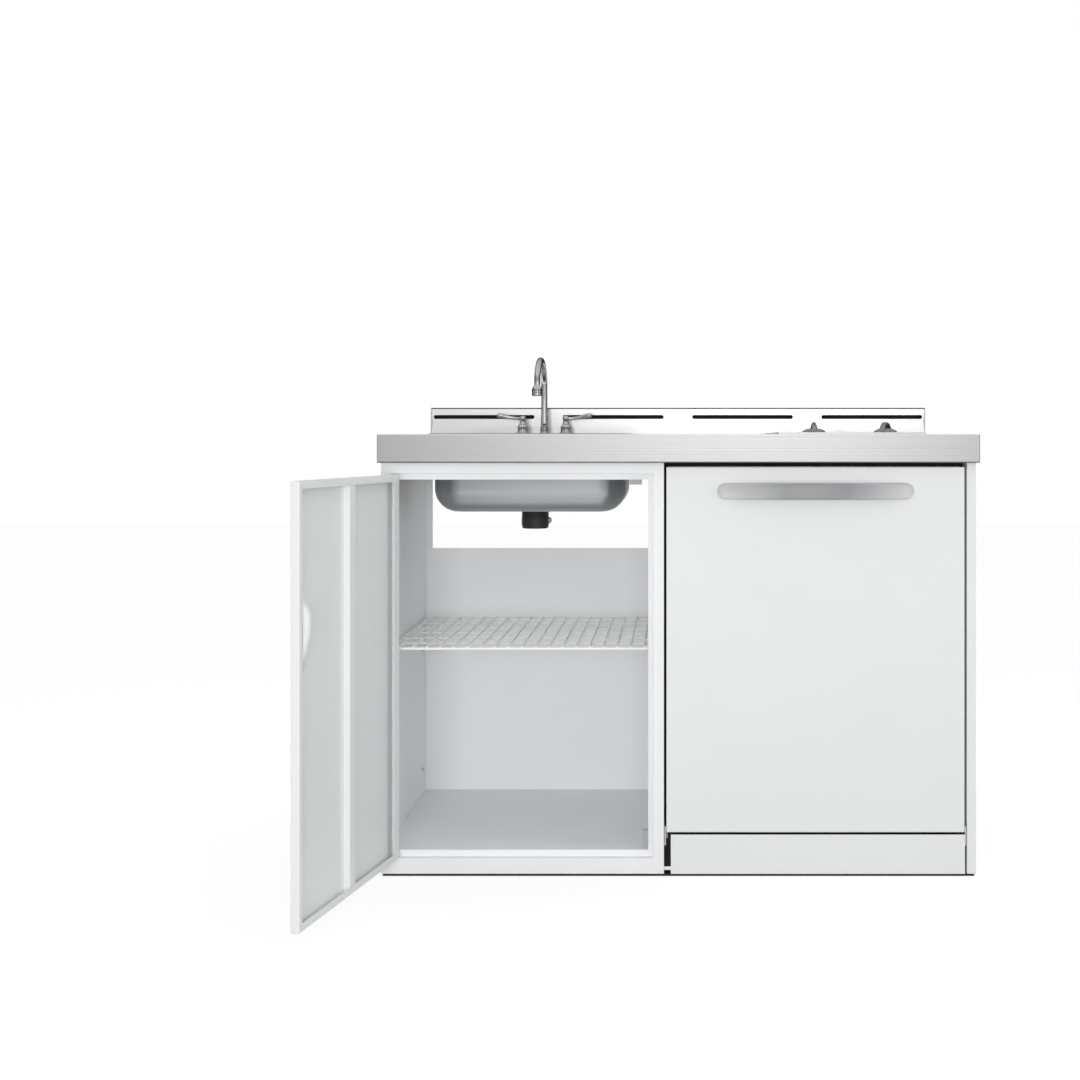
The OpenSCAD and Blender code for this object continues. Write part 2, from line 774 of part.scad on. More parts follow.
module faucet_lever(side) {
    tip_r = lever_tip_d / 2;
    tilt = atan2(lever_rise, lever_l - tip_r);
    color(chrome) translate([sink_x + side * valve_pitch, faucet_y, 0]) {
        translate([0, 0, worktop_h + bell_h - bell_socket_h + 1])
            cylinder(d = stem_d, h = bell_socket_h + stem_h);
        translate([0, 0, worktop_h + bell_h + seat_gap])
            cylinder(d1 = stem_d + 7, d2 = stem_d + 2, h = 8);
        translate([0, 0, lever_axis_z]) sphere(d = lever_ball_d);
        translate([0, 0, lever_axis_z]) rotate([0, side * (90 - tilt), 0]) {
            cylinder(d1 = stem_d - 2, d2 = lever_tip_d - 1, h = lever_l - tip_r);
            translate([0, 0, lever_l - tip_r]) sphere(d = lever_tip_d);
        }
    }
}

module left_faucet_lever() { faucet_lever(-1); }
module right_faucet_lever() { faucet_lever(1); }

// ---- Hob ----

module at_knobs() {
    for (s = [-1, 1]) translate([hob_x + s * knob_pitch / 2, knob_y, 0]) children();
}

module hob_block(w, d, z0, z1) {
    block(hob_x - w / 2, hob_x + w / 2, hob_y - d / 2, hob_y + d / 2, z0, z1);
}

// Widths by which the trim's drop and the box below it are smaller than the worktop's cut-out
drop_w = 2 * hob_clear;
mouth_w = drop_w + 2 * hob_wall;
box_inset = mouth_w + 2 * hob_clear;

module hob_trim_frame() {
    color(steel) difference() {
        union() {
            hob_block(hob_w, hob_d, worktop_h, worktop_h + hob_lip);
            // sides that drop into the worktop's cut-out
            hob_block(hob_hole_w - drop_w, hob_hole_d - drop_w,
                      top_z - hob_drop, worktop_h + hob_ledge / 2);
        }
        hob_block(hob_w - 2 * hob_trim, hob_d - 2 * hob_trim, glass_z, glass_z + glass_t + 1);
        hob_block(hob_hole_w - mouth_w, hob_hole_d - mouth_w, top_z - hob_drop - 1, glass_z + 1);
    }
}

module hob_glass() {
    color(black) difference() {
        hob_block(hob_w - 2 * hob_trim, hob_d - 2 * hob_trim, glass_z, glass_z + glass_t);
        at_knobs() translate([0, 0, glass_z - 1]) cylinder(d = spindle_d + 8, h = glass_t + 2);
    }
}

hob_box_z0 = top_z - hob_box_h;
hob_box_t = 1;
box_floor = hob_box_z0 + hob_box_t;
tray_z0 = glass_z - element_under_glass - element_h;
tray_wall = 8;
tray_floor = 4;
ribbon_t = 1.5;
ribbon_pitch = 12;
tray_leg_d = 12;

module element_tray(y, d) {
    translate([hob_x, y, tray_z0]) {
        difference() {
            cylinder(d = d, h = element_h);
            translate([0, 0, tray_floor]) cylinder(d = d - 2 * tray_wall, h = element_h);
        }
        // heating ribbon in rings, standing in the insulation
        for (r = [d / 2 - tray_wall - 10:-ribbon_pitch:16]) difference() {
            translate([0, 0, tray_floor - 1]) cylinder(r = r, h = element_h - tray_floor - 2);
            translate([0, 0, tray_floor - 2]) cylinder(r = r - ribbon_t, h = element_h);
        }
        // spring brackets that carry the tray on the box's floor
        for (s = [-1, 1]) translate([s * d / 4, 0, box_floor - tray_z0])
            cylinder(d = tray_leg_d, h = tray_z0 - box_floor);
    }
}

module radiant_elements() {
    color(grey) {
        element_tray(element_front_y, element_small_d);
        element_tray(element_back_y, element_large_d);
    }
}

cable_hole_d = 21;
cable_hole_z = hob_box_z0 + 18;
box_w = hob_hole_w - box_inset;
box_d = hob_hole_d - box_inset;

module hob_under_box() {
    color(steel) difference() {
        hob_block(box_w, box_d, hob_box_z0, glass_z);
        hob_block(box_w - 2 * hob_box_t, box_d - 2 * hob_box_t, box_floor, glass_z + 1);
        // hole for the supply cable, in the back wall
        translate([hob_x, hob_y + box_d / 2 - hob_box_t - 1, cable_hole_z]) rotate([-90, 0, 0])
            cylinder(d = cable_hole_d, h = hob_box_t + 2);
    }
}

switch_top = glass_z - 6;
switch_z0 = switch_top - switch_h;
switch_leg_w = 16;
switch_neck_d = 10;

module hob_switches() {
    color(grey) at_knobs() {
        translate([-switch_w / 2, -switch_w / 2, switch_z0]) cube([switch_w, switch_w, switch_h]);
        translate([0, 0, switch_top]) cylinder(d = switch_neck_d, h = 5);
        // leg that stands on the box's floor
        translate([-switch_leg_w / 2, -switch_leg_w / 2, box_floor])
            cube([switch_leg_w, switch_leg_w, switch_z0 - box_floor]);
        // spindle that carries the knob
        translate([0, 0, switch_top])
            cylinder(d = spindle_d, h = knob_base + knob_h - knob_skin - switch_top);
    }
}

module knob(s, turn) {
    skirt = knob_skirt_h / 2;
    foot = knob_d / 2 - 5;
    tip = knob_d / 2 - 9;
    sunk = 2;
    grip_h = knob_h - knob_skirt_h + sunk;
    color(chrome) translate([hob_x + s * knob_pitch / 2, knob_y, knob_base]) difference() {
        union() {
            cylinder(d1 = knob_d, d2 = knob_d - 2, h = skirt);
            translate([0, 0, skirt]) cylinder(d1 = knob_d - 2, d2 = knob_d / 2, h = skirt);
            // grip blade, wider at its foot
            rotate([90, 0, 90 - turn]) translate([0, knob_skirt_h - sunk, -knob_grip_t / 2])
                linear_extrude(knob_grip_t)
                    polygon([[-foot, 0], [foot, 0], [tip, grip_h], [-tip, grip_h]]);
        }
        translate([0, 0, -1])
            cylinder(d = spindle_d + 2 * pin_clear, h = knob_h - knob_skin + 1 + seat_gap);
        translate([0, 0, -1]) cylinder(d = knob_d - 10, h = 3);
    }
}

module left_knob() { knob(-1, 0); }
module right_knob() { knob(1, right_knob_turn); }

// ---- Shelf and small pieces of the sink cabinet ----

shelf_x0 = left_x + sheet_t + run_gap;
shelf_x1 = partition_x - sheet_t - run_gap;
shelf_y0 = frame_back + run_gap;
shelf_y1 = back_y - 2 * sheet_t - run_gap;
wall_x = [left_x + sheet_t, partition_x - sheet_t];
clip_l = 14;
clip_w = 12;
clip_h = 8;
clip_end = 60;

module shelf_clips() {
    color(white) for (i = [0, 1], y = [shelf_y0 + clip_end, shelf_y1 - clip_end])
        block(wall_x[i] - i * clip_l, wall_x[i] + (1 - i) * clip_l, y - clip_w / 2, y + clip_w / 2,
              shelf_z - border_wire_d - clip_h, shelf_z - border_wire_d);
}

module wire_shelf() {
    r = border_wire_d / 2;
    z = shelf_z - r;
    color(white) {
        for (y = [shelf_y0 + r, shelf_y1 - r])
            wire([shelf_x0, y, z], [shelf_x1, y, z], border_wire_d);
        for (x = [shelf_x0 + r, shelf_x1 - r])
            wire([x, shelf_y0, z], [x, shelf_y1, z], border_wire_d);
        for (y = [shelf_y0 + cross_pitch:cross_pitch:shelf_y1 - cross_pitch / 2])
            wire([shelf_x0 + r, y, z], [shelf_x1 - r, y, z], wire_d);
        for (x = [shelf_x0 + wire_pitch:wire_pitch:shelf_x1 - wire_pitch / 2])
            wire([x, shelf_y0 + r, z + wire_d - 0.5], [x, shelf_y1 - r, z + wire_d - 0.5], wire_d);
    }
}

// A third of the hinge's length is the door's knuckle, the rest is the frame's
knuckle_l = hinge_l / 3;
knuckle_gap = 0.4;

module frame_hinge_leaves() {
    color(steel) for (z = hinge_z) {
        for (part = [0, 2]) translate([pivot_x, pivot_y, z + part * knuckle_l])
            cylinder(d = knuckle_d, h = knuckle_l);
        for (part = [0, 2])
            block(rebate_x0, rebate_x0 + leaf_t, pivot_y, front_y + 1,
                  z + part * knuckle_l, z + (part + 1) * knuckle_l);
        block(rebate_x0, rebate_x0 + leaf_t, front_y, front_y + leaf_d, z, z + hinge_l);
        translate([pivot_x, pivot_y, z]) cylinder(d = pin_d, h = hinge_l);
    }
}

module door_hinge_leaves() {
    color(steel) opened() for (z = hinge_z) {
        z0 = z + knuckle_l + knuckle_gap;
        z1 = z + 2 * knuckle_l - knuckle_gap;
        difference() {
            union() {
                translate([pivot_x, pivot_y, z0]) cylinder(d = knuckle_d, h = z1 - z0);
                block(door_x0 - leaf_t, door_x0, pivot_y, front_y + 1, z0, z1);
            }
            translate([pivot_x, pivot_y, z0 - 1])
                cylinder(d = pin_d + 2 * pin_clear, h = z1 - z0 + 2);
        }
        block(door_x0 - leaf_t, door_x0, front_y, front_y + leaf_d, z, z + hinge_l);
    }
}

catch_t = 10;

module door_catches() {
    catch_y0 = door_back + seat_gap;
    color(grey) {
        // flat catch below the top rail
        block(open_x1 - 38, open_x1 - 13, catch_y0, frame_back, open_z1 - catch_t, open_z1);
        // upright catch at the foot of the stile
        block(open_x1 - catch_t, open_x1, catch_y0, frame_back, open_z0 + 12, open_z0 + 40);
    }
}

screw_head_h = 1.5;

module carcass_screws() {
    // screws on the side walls, beside the shelf's clips and above the floor
    color(grey) for (i = [0, 1], z = [shelf_z - 70, cabinet_floor_z + 60],
                     y = [frame_back + 125, back_y - 60])
        translate([wall_x[i], y, z]) rotate([0, i == 0 ? 90 : -90, 0]) {
            cylinder(d = screw_head_d, h = screw_head_h);
            translate([0, 0, screw_head_h])
                cylinder(d1 = screw_head_d, d2 = screw_head_d - 3, h = 1);
        }
}

// ---- Cabinet door ----

pull_x0 = door_x1 - pull_edge - pull_w;
pull_x1 = door_x1 - pull_edge;
pull_z1 = door_z1 - pull_drop;
pull_z0 = pull_z1 - pull_h;
pull_bevel = 16;

// The recessed pull, deeper in its middle, grown by its wall
module pull_solid(grow, x0, x1, y) {
    translate([x0, y, 0]) rotate([90, 0, 90]) linear_extrude(x1 - x0)
        polygon([for (p = [[pull_z0 - grow, 0], [pull_z1 + grow, 0],
                           [pull_z1 + grow - pull_bevel, pull_d + grow - door_sheet],
                           [pull_z0 - grow + pull_bevel, pull_d + grow - door_sheet]])
                 [p[1], p[0]]]);
}

module door_pan() {
    color(white) opened() difference() {
        block(door_x0, door_x1, front_y, door_back, door_z0, door_z1);
        // hollow of the pan
        block(door_x0 + door_sheet, door_x1 - door_sheet, front_y + door_sheet,
              door_back - door_sheet, door_z0 + door_sheet, door_z1 - door_sheet);
        // opening between the lips
        block(door_x0 + hinge_lip, door_x1 - door_lip, front_y + door_sheet + 1, door_back + 1,
              door_z0 + door_lip, door_z1 - door_lip);
        // mouth of the recessed pull
        block(pull_x0, pull_x1, front_y - 1, front_y + door_sheet + 1, pull_z0, pull_z1);
    }
}

module door_pull() {
    lip = 3;
    color(white) opened() difference() {
        union() {
            pull_solid(door_sheet, pull_x0 - door_sheet, pull_x1 + door_sheet,
                       front_y + door_sheet);
            block(pull_x0 - lip, pull_x1 + lip, front_y + door_sheet, front_y + 2 * door_sheet,
                  pull_z0 - lip, pull_z1 + lip);
        }
        pull_solid(0, pull_x0, pull_x1, front_y + door_sheet - 0.01);
    }
}

stiffener_flange = 10;

module door_stiffener() {
    sx = (door_x0 + door_x1) / 2;
    y0 = front_y + door_sheet;
    h = door_t - 2 * door_sheet;
    color(white) opened() {
        block(sx - stiffener_w / 2, sx + stiffener_w / 2, y0 + h - door_sheet, y0 + h,
              door_z0 + door_lip, door_z1 - door_lip);
        for (s = [-1, 1]) {
            x = sx + s * (stiffener_w / 2 - door_sheet / 2);
            block(x - door_sheet / 2, x + door_sheet / 2, y0, y0 + h - door_sheet / 2,
                  door_z0 + door_sheet, door_z1 - door_sheet);
            block(min(x, x + s * stiffener_flange), max(x, x + s * stiffener_flange),
                  y0, y0 + door_sheet, door_z0 + door_sheet, door_z1 - door_sheet);
        }
    }
}

// ---- Dishwasher body ----

base_y0 = frame_back + 30;
base_y1 = tub_back;
base_z0 = plinth_h;
toe_t = 1.5;
toe_z1 = appliance_door_z - 5;
toe_x0 = bay_x0 + toe_gap_left;
toe_x1 = bay_x1 - toe_gap_right;
sump_top = tub_z + tub_t;
sump_h = 58;
sump_z0 = tub_z - sump_h;
sump_hole_d = sump_d - 10;
toe_lip = 14;
toe_bracket_t = 2;
toe_bracket_h = 40;
toe_bracket_end = 60;

module toe_kick() {
    color(white) {
        block(toe_x0, toe_x1, front_y, front_y + toe_t, plinth_h, toe_z1);
        block(toe_x0, toe_x1, front_y + toe_t, front_y + toe_lip, plinth_h, plinth_h + toe_t);
        // brackets that reach back to the base
        for (x = [toe_x0 + toe_bracket_end, toe_x1 - toe_bracket_end - toe_bracket_t])
            block(x, x + toe_bracket_t, front_y + toe_t, base_y0,
                  plinth_h + toe_t, plinth_h + toe_bracket_h);
    }
}

inlet_d = 24;
inlet_x = tub_x0 + 60;
inlet_z = base_z0 + 50;
bracket_z0 = appliance_pivot_z - 32;
bracket_z1 = appliance_pivot_z + 7;
bracket_foot_h = 20;
base_t = 2;

module dishwasher_base() {
    color(black) difference() {
        union() {
            block(tub_x0, tub_x1, base_y0, base_y1, base_z0, tub_z);
            // front plate that closes the bay
            block(bay_x0, bay_x1, base_y0, base_y0 + base_t, base_z0, tub_z);
        }
        block(tub_x0 + base_t, tub_x1 - base_t, base_y0 + base_t, base_y1 - base_t,
              base_z0 + base_t, tub_z + 1);
        // notches for the hinge brackets and their feet
        for (x = bracket_x)
            block(x, x + bracket_t, base_y0 - 1, base_y0 + base_t + 1, bracket_z0, bracket_z1);
        for (x = [[bay_x0, tub_x0], [tub_x1, bay_x1]])
            block(x[0] - 1, x[1] + 1, base_y0 - 1, base_y0 + base_t + 1,
                  bracket_z0, bracket_z0 + bracket_foot_h);
        // inlet for the supply at the back
        translate([inlet_x, base_y1 - 5, inlet_z]) rotate([-90, 0, 0])
            cylinder(d = inlet_d, h = 10);
    }
}

module dishwasher_tub() {
    color(steel) difference() {
        block(tub_x0, tub_x1, tub_front, tub_back, tub_z, tub_top);
        block(tub_x0 + tub_t, tub_x1 - tub_t, tub_front + tub_t, tub_back - tub_t,
              tub_z + tub_t, tub_top - tub_t);
        block(tub_x0 + tub_lip, tub_x1 - tub_lip, tub_front - 1, tub_front + tub_t + 1,
              tub_open_z0, tub_top - tub_lip);
        translate([spray_x, spray_y, tub_z - 1]) cylinder(d = sump_hole_d, h = tub_t + 2);
    }
}

seal_t = 2;

module tub_gasket() {
    edge = 3;
    inner = tub_lip - edge;
    outer = 6;
    color(black) {
        difference() {
            block(tub_x0 + outer, tub_x1 - outer, tub_front - gasket_t, tub_front,
                  tub_open_z0 - tub_lip + outer, tub_top - outer);
            block(tub_x0 + inner, tub_x1 - inner, tub_front - gasket_t - 1, tub_front + 1,
                  tub_open_z0 - edge, tub_top - inner);
        }
        // strips that close the bay round the tub
        difference() {
            block(bay_x0, bay_x1, tub_front, tub_front + seal_t, tub_z, hob_box_z0 - run_gap);
            block(tub_x0, tub_x1, tub_front - 1, tub_front + seal_t + 1, tub_z - 1, tub_top);
        }
    }
}

module hinge_brackets() {
    bracket_back = tub_front + 60;
    color(grey) for (i = [0, 1]) {
        x = bracket_x[i];
        reach = i == 0 ? [x + bracket_t, unit_x0 + pin_reach] : [unit_x1 - pin_reach, x];
        block(x, x + bracket_t, appliance_pivot_y - 5, bracket_back, bracket_z0, bracket_z1);
        translate([reach[0], appliance_pivot_y, appliance_pivot_z]) rotate([0, 90, 0])
            cylinder(d = appliance_pin_d, h = reach[1] - reach[0]);
        // foot against the base's side
        block(i == 0 ? x : tub_x1, i == 0 ? tub_x0 : x + bracket_t,
              base_y0 + base_t, bracket_back, bracket_z0, bracket_z0 + bracket_foot_h);
    }
}

rack_rail_h = 6;
rail_hold = 8;
rail_x = [tub_x0 + tub_t, tub_x1 - tub_t];

module rack_rails() {
    // ledges on the tub's walls that carry the racks' side wires
    color(grey) for (i = [0, 1], z = [lower_rack_z, upper_rack_z])
        block(i == 0 ? rail_x[0] : rack_x1 - rail_hold, i == 0 ? rack_x0 + rail_hold : rail_x[1],
              rack_y0, rack_y1, z - rack_rail_h, z);
}

// Places of the wires that divide a length evenly
function places(from, length) =
    let (n = ceil(length / rack_pitch))
    [for (i = [0:n]) from + rack_wire / 2 + i * (length - rack_wire) / n];

// A wire basket: crossing floor wires, uprights and two border wires
module rack(z0, h) {
    r = rack_wire / 2;
    z = z0 + r;
    ys = places(rack_y0, rack_d);
    xs = places(rack_x0, rack_w);
    for (y = ys) wire([rack_x0, y, z], [rack_x1, y, z], rack_wire);
    for (x = xs) wire([x, rack_y0, z], [x, rack_y1, z], rack_wire);
    for (zz = [z0 + h / 2, z0 + h - r]) {
        for (y = [ys[0], ys[len(ys) - 1]]) wire([rack_x0, y, zz], [rack_x1, y, zz], rack_wire);
        for (x = [xs[0], xs[len(xs) - 1]]) wire([x, rack_y0, zz], [x, rack_y1, zz], rack_wire);
    }
    for (y = [ys[0], ys[len(ys) - 1]], x = xs) wire([x, y, z], [x, y, z0 + h - r], rack_wire);
    for (x = [xs[0], xs[len(xs) - 1]], y = ys) wire([x, y, z], [x, y, z0 + h - r], rack_wire);
}

module upper_rack() { color(grey) rack(upper_rack_z, upper_rack_h); }
module lower_rack() { color(grey) rack(lower_rack_z, lower_rack_h); }

sump_wall = 3;
sump_flange_t = 2;
outlet_bore_d = 20;
pump_z = sump_z0 + 22;

// Bores through the sump's side that lead to the two pumps
module pump_bores() {
    for (a = [0, 180]) rotate([0, 0, a]) translate([0, 0, pump_z]) rotate([0, 90, 0])
        cylinder(d = outlet_bore_d, h = sump_d);
}

module sump() {
    color(black) translate([spray_x, spray_y, 0]) difference() {
        union() {
            translate([0, 0, sump_z0]) cylinder(d = sump_hole_d, h = sump_h + tub_t);
            translate([0, 0, sump_top]) cylinder(d = sump_d, h = sump_flange_t);
        }
        translate([0, 0, sump_z0 + sump_wall])
            cylinder(d = sump_hole_d - 2 * sump_wall, h = sump_h + 20);
        pump_bores();
    }
}

filter_d = sump_hole_d - 10;
filter_t = 2;
filter_top = sump_top + 3;
filter_hole_d = 8;
filter_hole_in = 24;
hub_pin_d = hub_bore_d - 2 * pin_clear;
hub_cap_d = hub_bore_d + 6;

module sump_filter() {
    color(steel) translate([spray_x, spray_y, 0]) {
        difference() {
            translate([0, 0, sump_z0 + sump_wall])
                cylinder(d = filter_d, h = filter_top - sump_z0 - sump_wall);
            translate([0, 0, sump_z0 + sump_wall - 1])
                cylinder(d = filter_d - 2 * filter_t, h = sump_h);
            pump_bores();
            for (a = [0:30:330]) rotate([0, 0, a])
                translate([filter_d / 2 - filter_hole_in, 0, sump_top])
                    cylinder(d = filter_hole_d, h = 8);
        }
        // hub that carries the lower spray arm
        translate([0, 0, filter_top]) cylinder(d = hub_d - 6, h = lower_arm_z - filter_top);
        translate([0, 0, lower_arm_z]) cylinder(d = hub_pin_d, h = arm_t + 6);
        translate([0, 0, lower_arm_z + arm_t + 2]) cylinder(d = hub_cap_d, h = 5);
    }
}

pump_neck_d = 26;
pump_neck_l = 22;
pump_room = 4;
pump_body_l = 24;
pump_step = 10;
pump_foot_w = 20;
pump_foot_d = 30;
wash_pump_d = 2 * (tub_z - pump_z - pump_room);

// A pump beside the sump: neck, pump body, motor and a foot on the base
module pump(side, d, motor_l) {
    motor_d = d - pump_step;
    motor_x = pump_neck_l + pump_body_l;
    foot_x = spray_x + side * (sump_hole_d / 2 + motor_x + pump_foot_w / 2 + 4);
    translate([spray_x + side * sump_hole_d / 2, spray_y, pump_z]) rotate([0, side * 90, 0]) {
        cylinder(d = pump_neck_d, h = pump_neck_l);
        translate([0, 0, pump_neck_l]) cylinder(d = d, h = pump_body_l);
        translate([0, 0, motor_x]) cylinder(d = motor_d, h = motor_l);
    }
    block(foot_x - pump_foot_w / 2, foot_x + pump_foot_w / 2,
          spray_y - pump_foot_d / 2, spray_y + pump_foot_d / 2,
          base_z0 + base_t, pump_z - motor_d / 2 + 2);
}

module wash_pumps() {
    color(grey) {
        pump(1, wash_pump_d, 80);
        pump(-1, wash_pump_d - 10, 55);
    }
}

feed_y = tub_back - tub_t - feed_d / 2;
feed_z = upper_arm_z + arm_t + 8 + feed_d / 2;
feed_cap_h = 5;

module spray_feed_tube() {
    // back riser, arm under the upper rack, and the pin that carries the upper spray arm
    color(grey) {
        translate([spray_x, feed_y, sump_top]) cylinder(d = feed_d, h = feed_z - sump_top);
        translate([spray_x, feed_y, feed_z]) {
            rotate([90, 0, 0]) cylinder(d = feed_d, h = feed_y - spray_y);
            sphere(d = feed_d);
        }
        translate([spray_x, spray_y, 0]) {
            translate([0, 0, feed_z]) sphere(d = feed_d);
            translate([0, 0, upper_arm_z - feed_cap_h - 1])
                cylinder(d = hub_pin_d, h = feed_z - upper_arm_z + feed_cap_h + 1);
            translate([0, 0, upper_arm_z - feed_cap_h - 2]) cylinder(d = hub_cap_d, h = feed_cap_h);
            translate([0, 0, upper_arm_z + arm_t + 0.5]) cylinder(d = hub_cap_d, h = 4);
        }
    }
}

jet_d = 4;
jet_pitch = 38;
jet_from = 60;

module spray_arm(z) {
    blade_h = arm_t - 2 * arm_skin;
    color(grey) translate([spray_x, spray_y, z + seat_gap]) rotate([0, 0, arm_turn]) difference() {
        union() {
            cylinder(d = hub_d, h = arm_t);
            for (a = [0, 180]) rotate([0, 0, a]) translate([0, 0, arm_skin]) {
                translate([0, -arm_w / 2, 0]) cube([spray_l / 2 - arm_w / 2, arm_w, blade_h]);
                translate([spray_l / 2 - arm_w / 2, 0, 0]) cylinder(d = arm_w, h = blade_h);
            }
        }
        translate([0, 0, -1]) cylinder(d = hub_bore_d, h = arm_t + 2);
        for (a = [0, 180], r = [jet_from:jet_pitch:spray_l / 2 - 20]) rotate([0, 0, a])
            translate([r, 0, arm_t - 2 * arm_skin]) cylinder(d = jet_d, h = 2 * arm_skin);
    }
}

module lower_spray_arm() { spray_arm(lower_arm_z); }
module upper_spray_arm() { spray_arm(upper_arm_z); }

// ---- Dishwasher door ----

pin_bore_d = appliance_pin_d + 2 * pin_clear;

module pin_bores() {
    for (x = [unit_x0 - 1, unit_x1 - pin_reach - 2])
        translate([x, appliance_pivot_y, appliance_pivot_z]) rotate([0, 90, 0])
            cylinder(d = pin_bore_d, h = pin_reach + 3);
}

// Blocks in the panel's lower corners that hold the hinge bushes
bush_w = 14;
bush_h = 20;

module dishwasher_door_panel() {
    t = door_sheet;
    color(white) difference() {
        union() {
            difference() {
                block(unit_x0, unit_x1, panel_front, panel_back,
                      appliance_door_z, appliance_door_top);
                block(unit_x0 + t, unit_x1 - t, panel_front + t, panel_back + 1,
                      appliance_door_z + t, appliance_door_top + 1);
            }
            for (x = [unit_x0, unit_x1 - bush_w])
                block(x, x + bush_w, panel_front, panel_back, appliance_door_z,
                      appliance_door_z + bush_h);
        }
        pin_bores();
    }
}

liner_inset = 2;
liner_x0 = unit_x0 + liner_inset;
liner_x1 = unit_x1 - liner_inset;
liner_z0 = appliance_door_z + 8;

module dishwasher_door_liner() {
    t = door_sheet;
    color(steel) difference() {
        block(liner_x0, liner_x1, panel_back, liner_back, liner_z0, appliance_door_top);
        block(liner_x0 + t, liner_x1 - t, panel_back - 1, liner_back - t,
              liner_z0 + t, appliance_door_top + 1);
        // cut-out for the detergent dispenser
        block(bay_x - dispenser_w / 2, bay_x + dispenser_w / 2, liner_back - 2 * t, liner_back + 1,
              dispenser_z, dispenser_z + dispenser_h);
    }
}

module bow_handle() {
    // a strap that bows out from the door and two feet under its ends
    rise = handle_out - handle_t;
    r = (pow(handle_l / 2, 2) + pow(rise, 2)) / (2 * rise);
    foot_l = 40;
    foot_out = handle_t + 5;
    color(grey) translate([bay_x, panel_front, handle_z]) intersection() {
        union() {
            translate([0, r - handle_out, -handle_h / 2]) difference() {
                cylinder(r = r, h = handle_h);
                translate([0, 0, -1]) cylinder(r = r - handle_t, h = handle_h + 2);
            }
            for (x = [-handle_l / 2, handle_l / 2 - foot_l])
                translate([x, -foot_out, -handle_h / 2]) cube([foot_l, foot_out, handle_h]);
        }
        rotate([90, 0, 0]) linear_extrude(handle_out + 1)
            rounded_rect(handle_l, handle_h, handle_h / 2 - 0.2);
    }
}

strip_z0 = appliance_door_top - strip_h;
pocket_z0 = strip_z0 + 1;

module control_strip() {
    pocket_w = button_w / 2 + button_clear;
    pocket_d = button_d / 2 + button_clear;
    color(white) difference() {
        block(liner_x0 + door_sheet, liner_x1 - door_sheet, panel_front + door_sheet,
              liner_back - door_sheet, strip_z0, appliance_door_top);
        for (x = button_x)
            block(x - pocket_w, x + pocket_w, button_y - pocket_d, button_y + pocket_d,
                  pocket_z0, appliance_door_top + 1);
    }
}

module strip_button(x) {
    color(grey) block(x - button_w / 2, x + button_w / 2,
                      button_y - button_d / 2, button_y + button_d / 2,
                      pocket_z0 + button_travel + seat_gap, appliance_door_top + button_travel / 2);
}

module power_button() { strip_button(button_x[0]); }
module start_button() { strip_button(button_x[1]); }

lid_z0 = dispenser_z + (dispenser_h - lid_h) / 2;
lid_x0 = bay_x - dispenser_w / 2 + dispenser_wall;
cup_wall = 5;

module detergent_dispenser() {
    x0 = bay_x - dispenser_w / 2;
    x1 = bay_x + dispenser_w / 2;
    color(grey) difference() {
        block(x0, x1, liner_back - dispenser_d, liner_back, dispenser_z, dispenser_z + dispenser_h);
        // channel in which the lid slides
        block(lid_x0 - seat_gap, x1 + 1, liner_back - lid_t - seat_gap, liner_back + 1,
              lid_z0 - seat_gap, lid_z0 + lid_h + seat_gap);
        // cup for the powder
        block(lid_x0 + cup_wall, lid_x0 + lid_w - cup_wall,
              liner_back - dispenser_d + 2, liner_back - 2,
              lid_z0 + cup_wall, lid_z0 + lid_h - cup_wall);
    }
}

module dispenser_lid() {
    color(grey) difference() {
        block(lid_x0, lid_x0 + lid_w, liner_back - lid_t, liner_back, lid_z0, lid_z0 + lid_h);
        // finger hollow
        block(lid_x0 + lid_w - 16, lid_x0 + lid_w - 8, liner_back - 2, liner_back + 1,
              lid_z0 + 15, lid_z0 + lid_h - 15);
    }
}

plinth_frame();
left_side_panel();
centre_partition();
right_end_panel();
front_frame();
cabinet_floor();
back_panel();
worktop_rails();
worktop();
backsplash();
sink_bowl();
strainer_body();
strainer_gasket();
drain_outlet();
strainer_basket();
spout_base();
valve_bells();
faucet_nuts();
faucet_spout();
aerator();
left_faucet_lever();
right_faucet_lever();
hob_trim_frame();
hob_glass();
radiant_elements();
hob_under_box();
hob_switches();
left_knob();
right_knob();
shelf_clips();
wire_shelf();
frame_hinge_leaves();
door_catches();
carcass_screws();
door_pan();
door_stiffener();
door_pull();
door_hinge_leaves();
dishwasher_base();
dishwasher_tub();
toe_kick();
tub_gasket();
hinge_brackets();
rack_rails();
upper_rack();
lower_rack();
sump();
sump_filter();
wash_pumps();
spray_feed_tube();
upper_spray_arm();
lower_spray_arm();
dishwasher_door_panel();
dishwasher_door_liner();
bow_handle();
control_strip();
power_button();
start_button();
detergent_dispenser();
dispenser_lid();
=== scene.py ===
"""Looks of a kitchenette unit: steel worktop with sink and hob, open sink cabinet, dishwasher."""

import json
import math

import bmesh
import bpy
from mathutils import Matrix, Vector


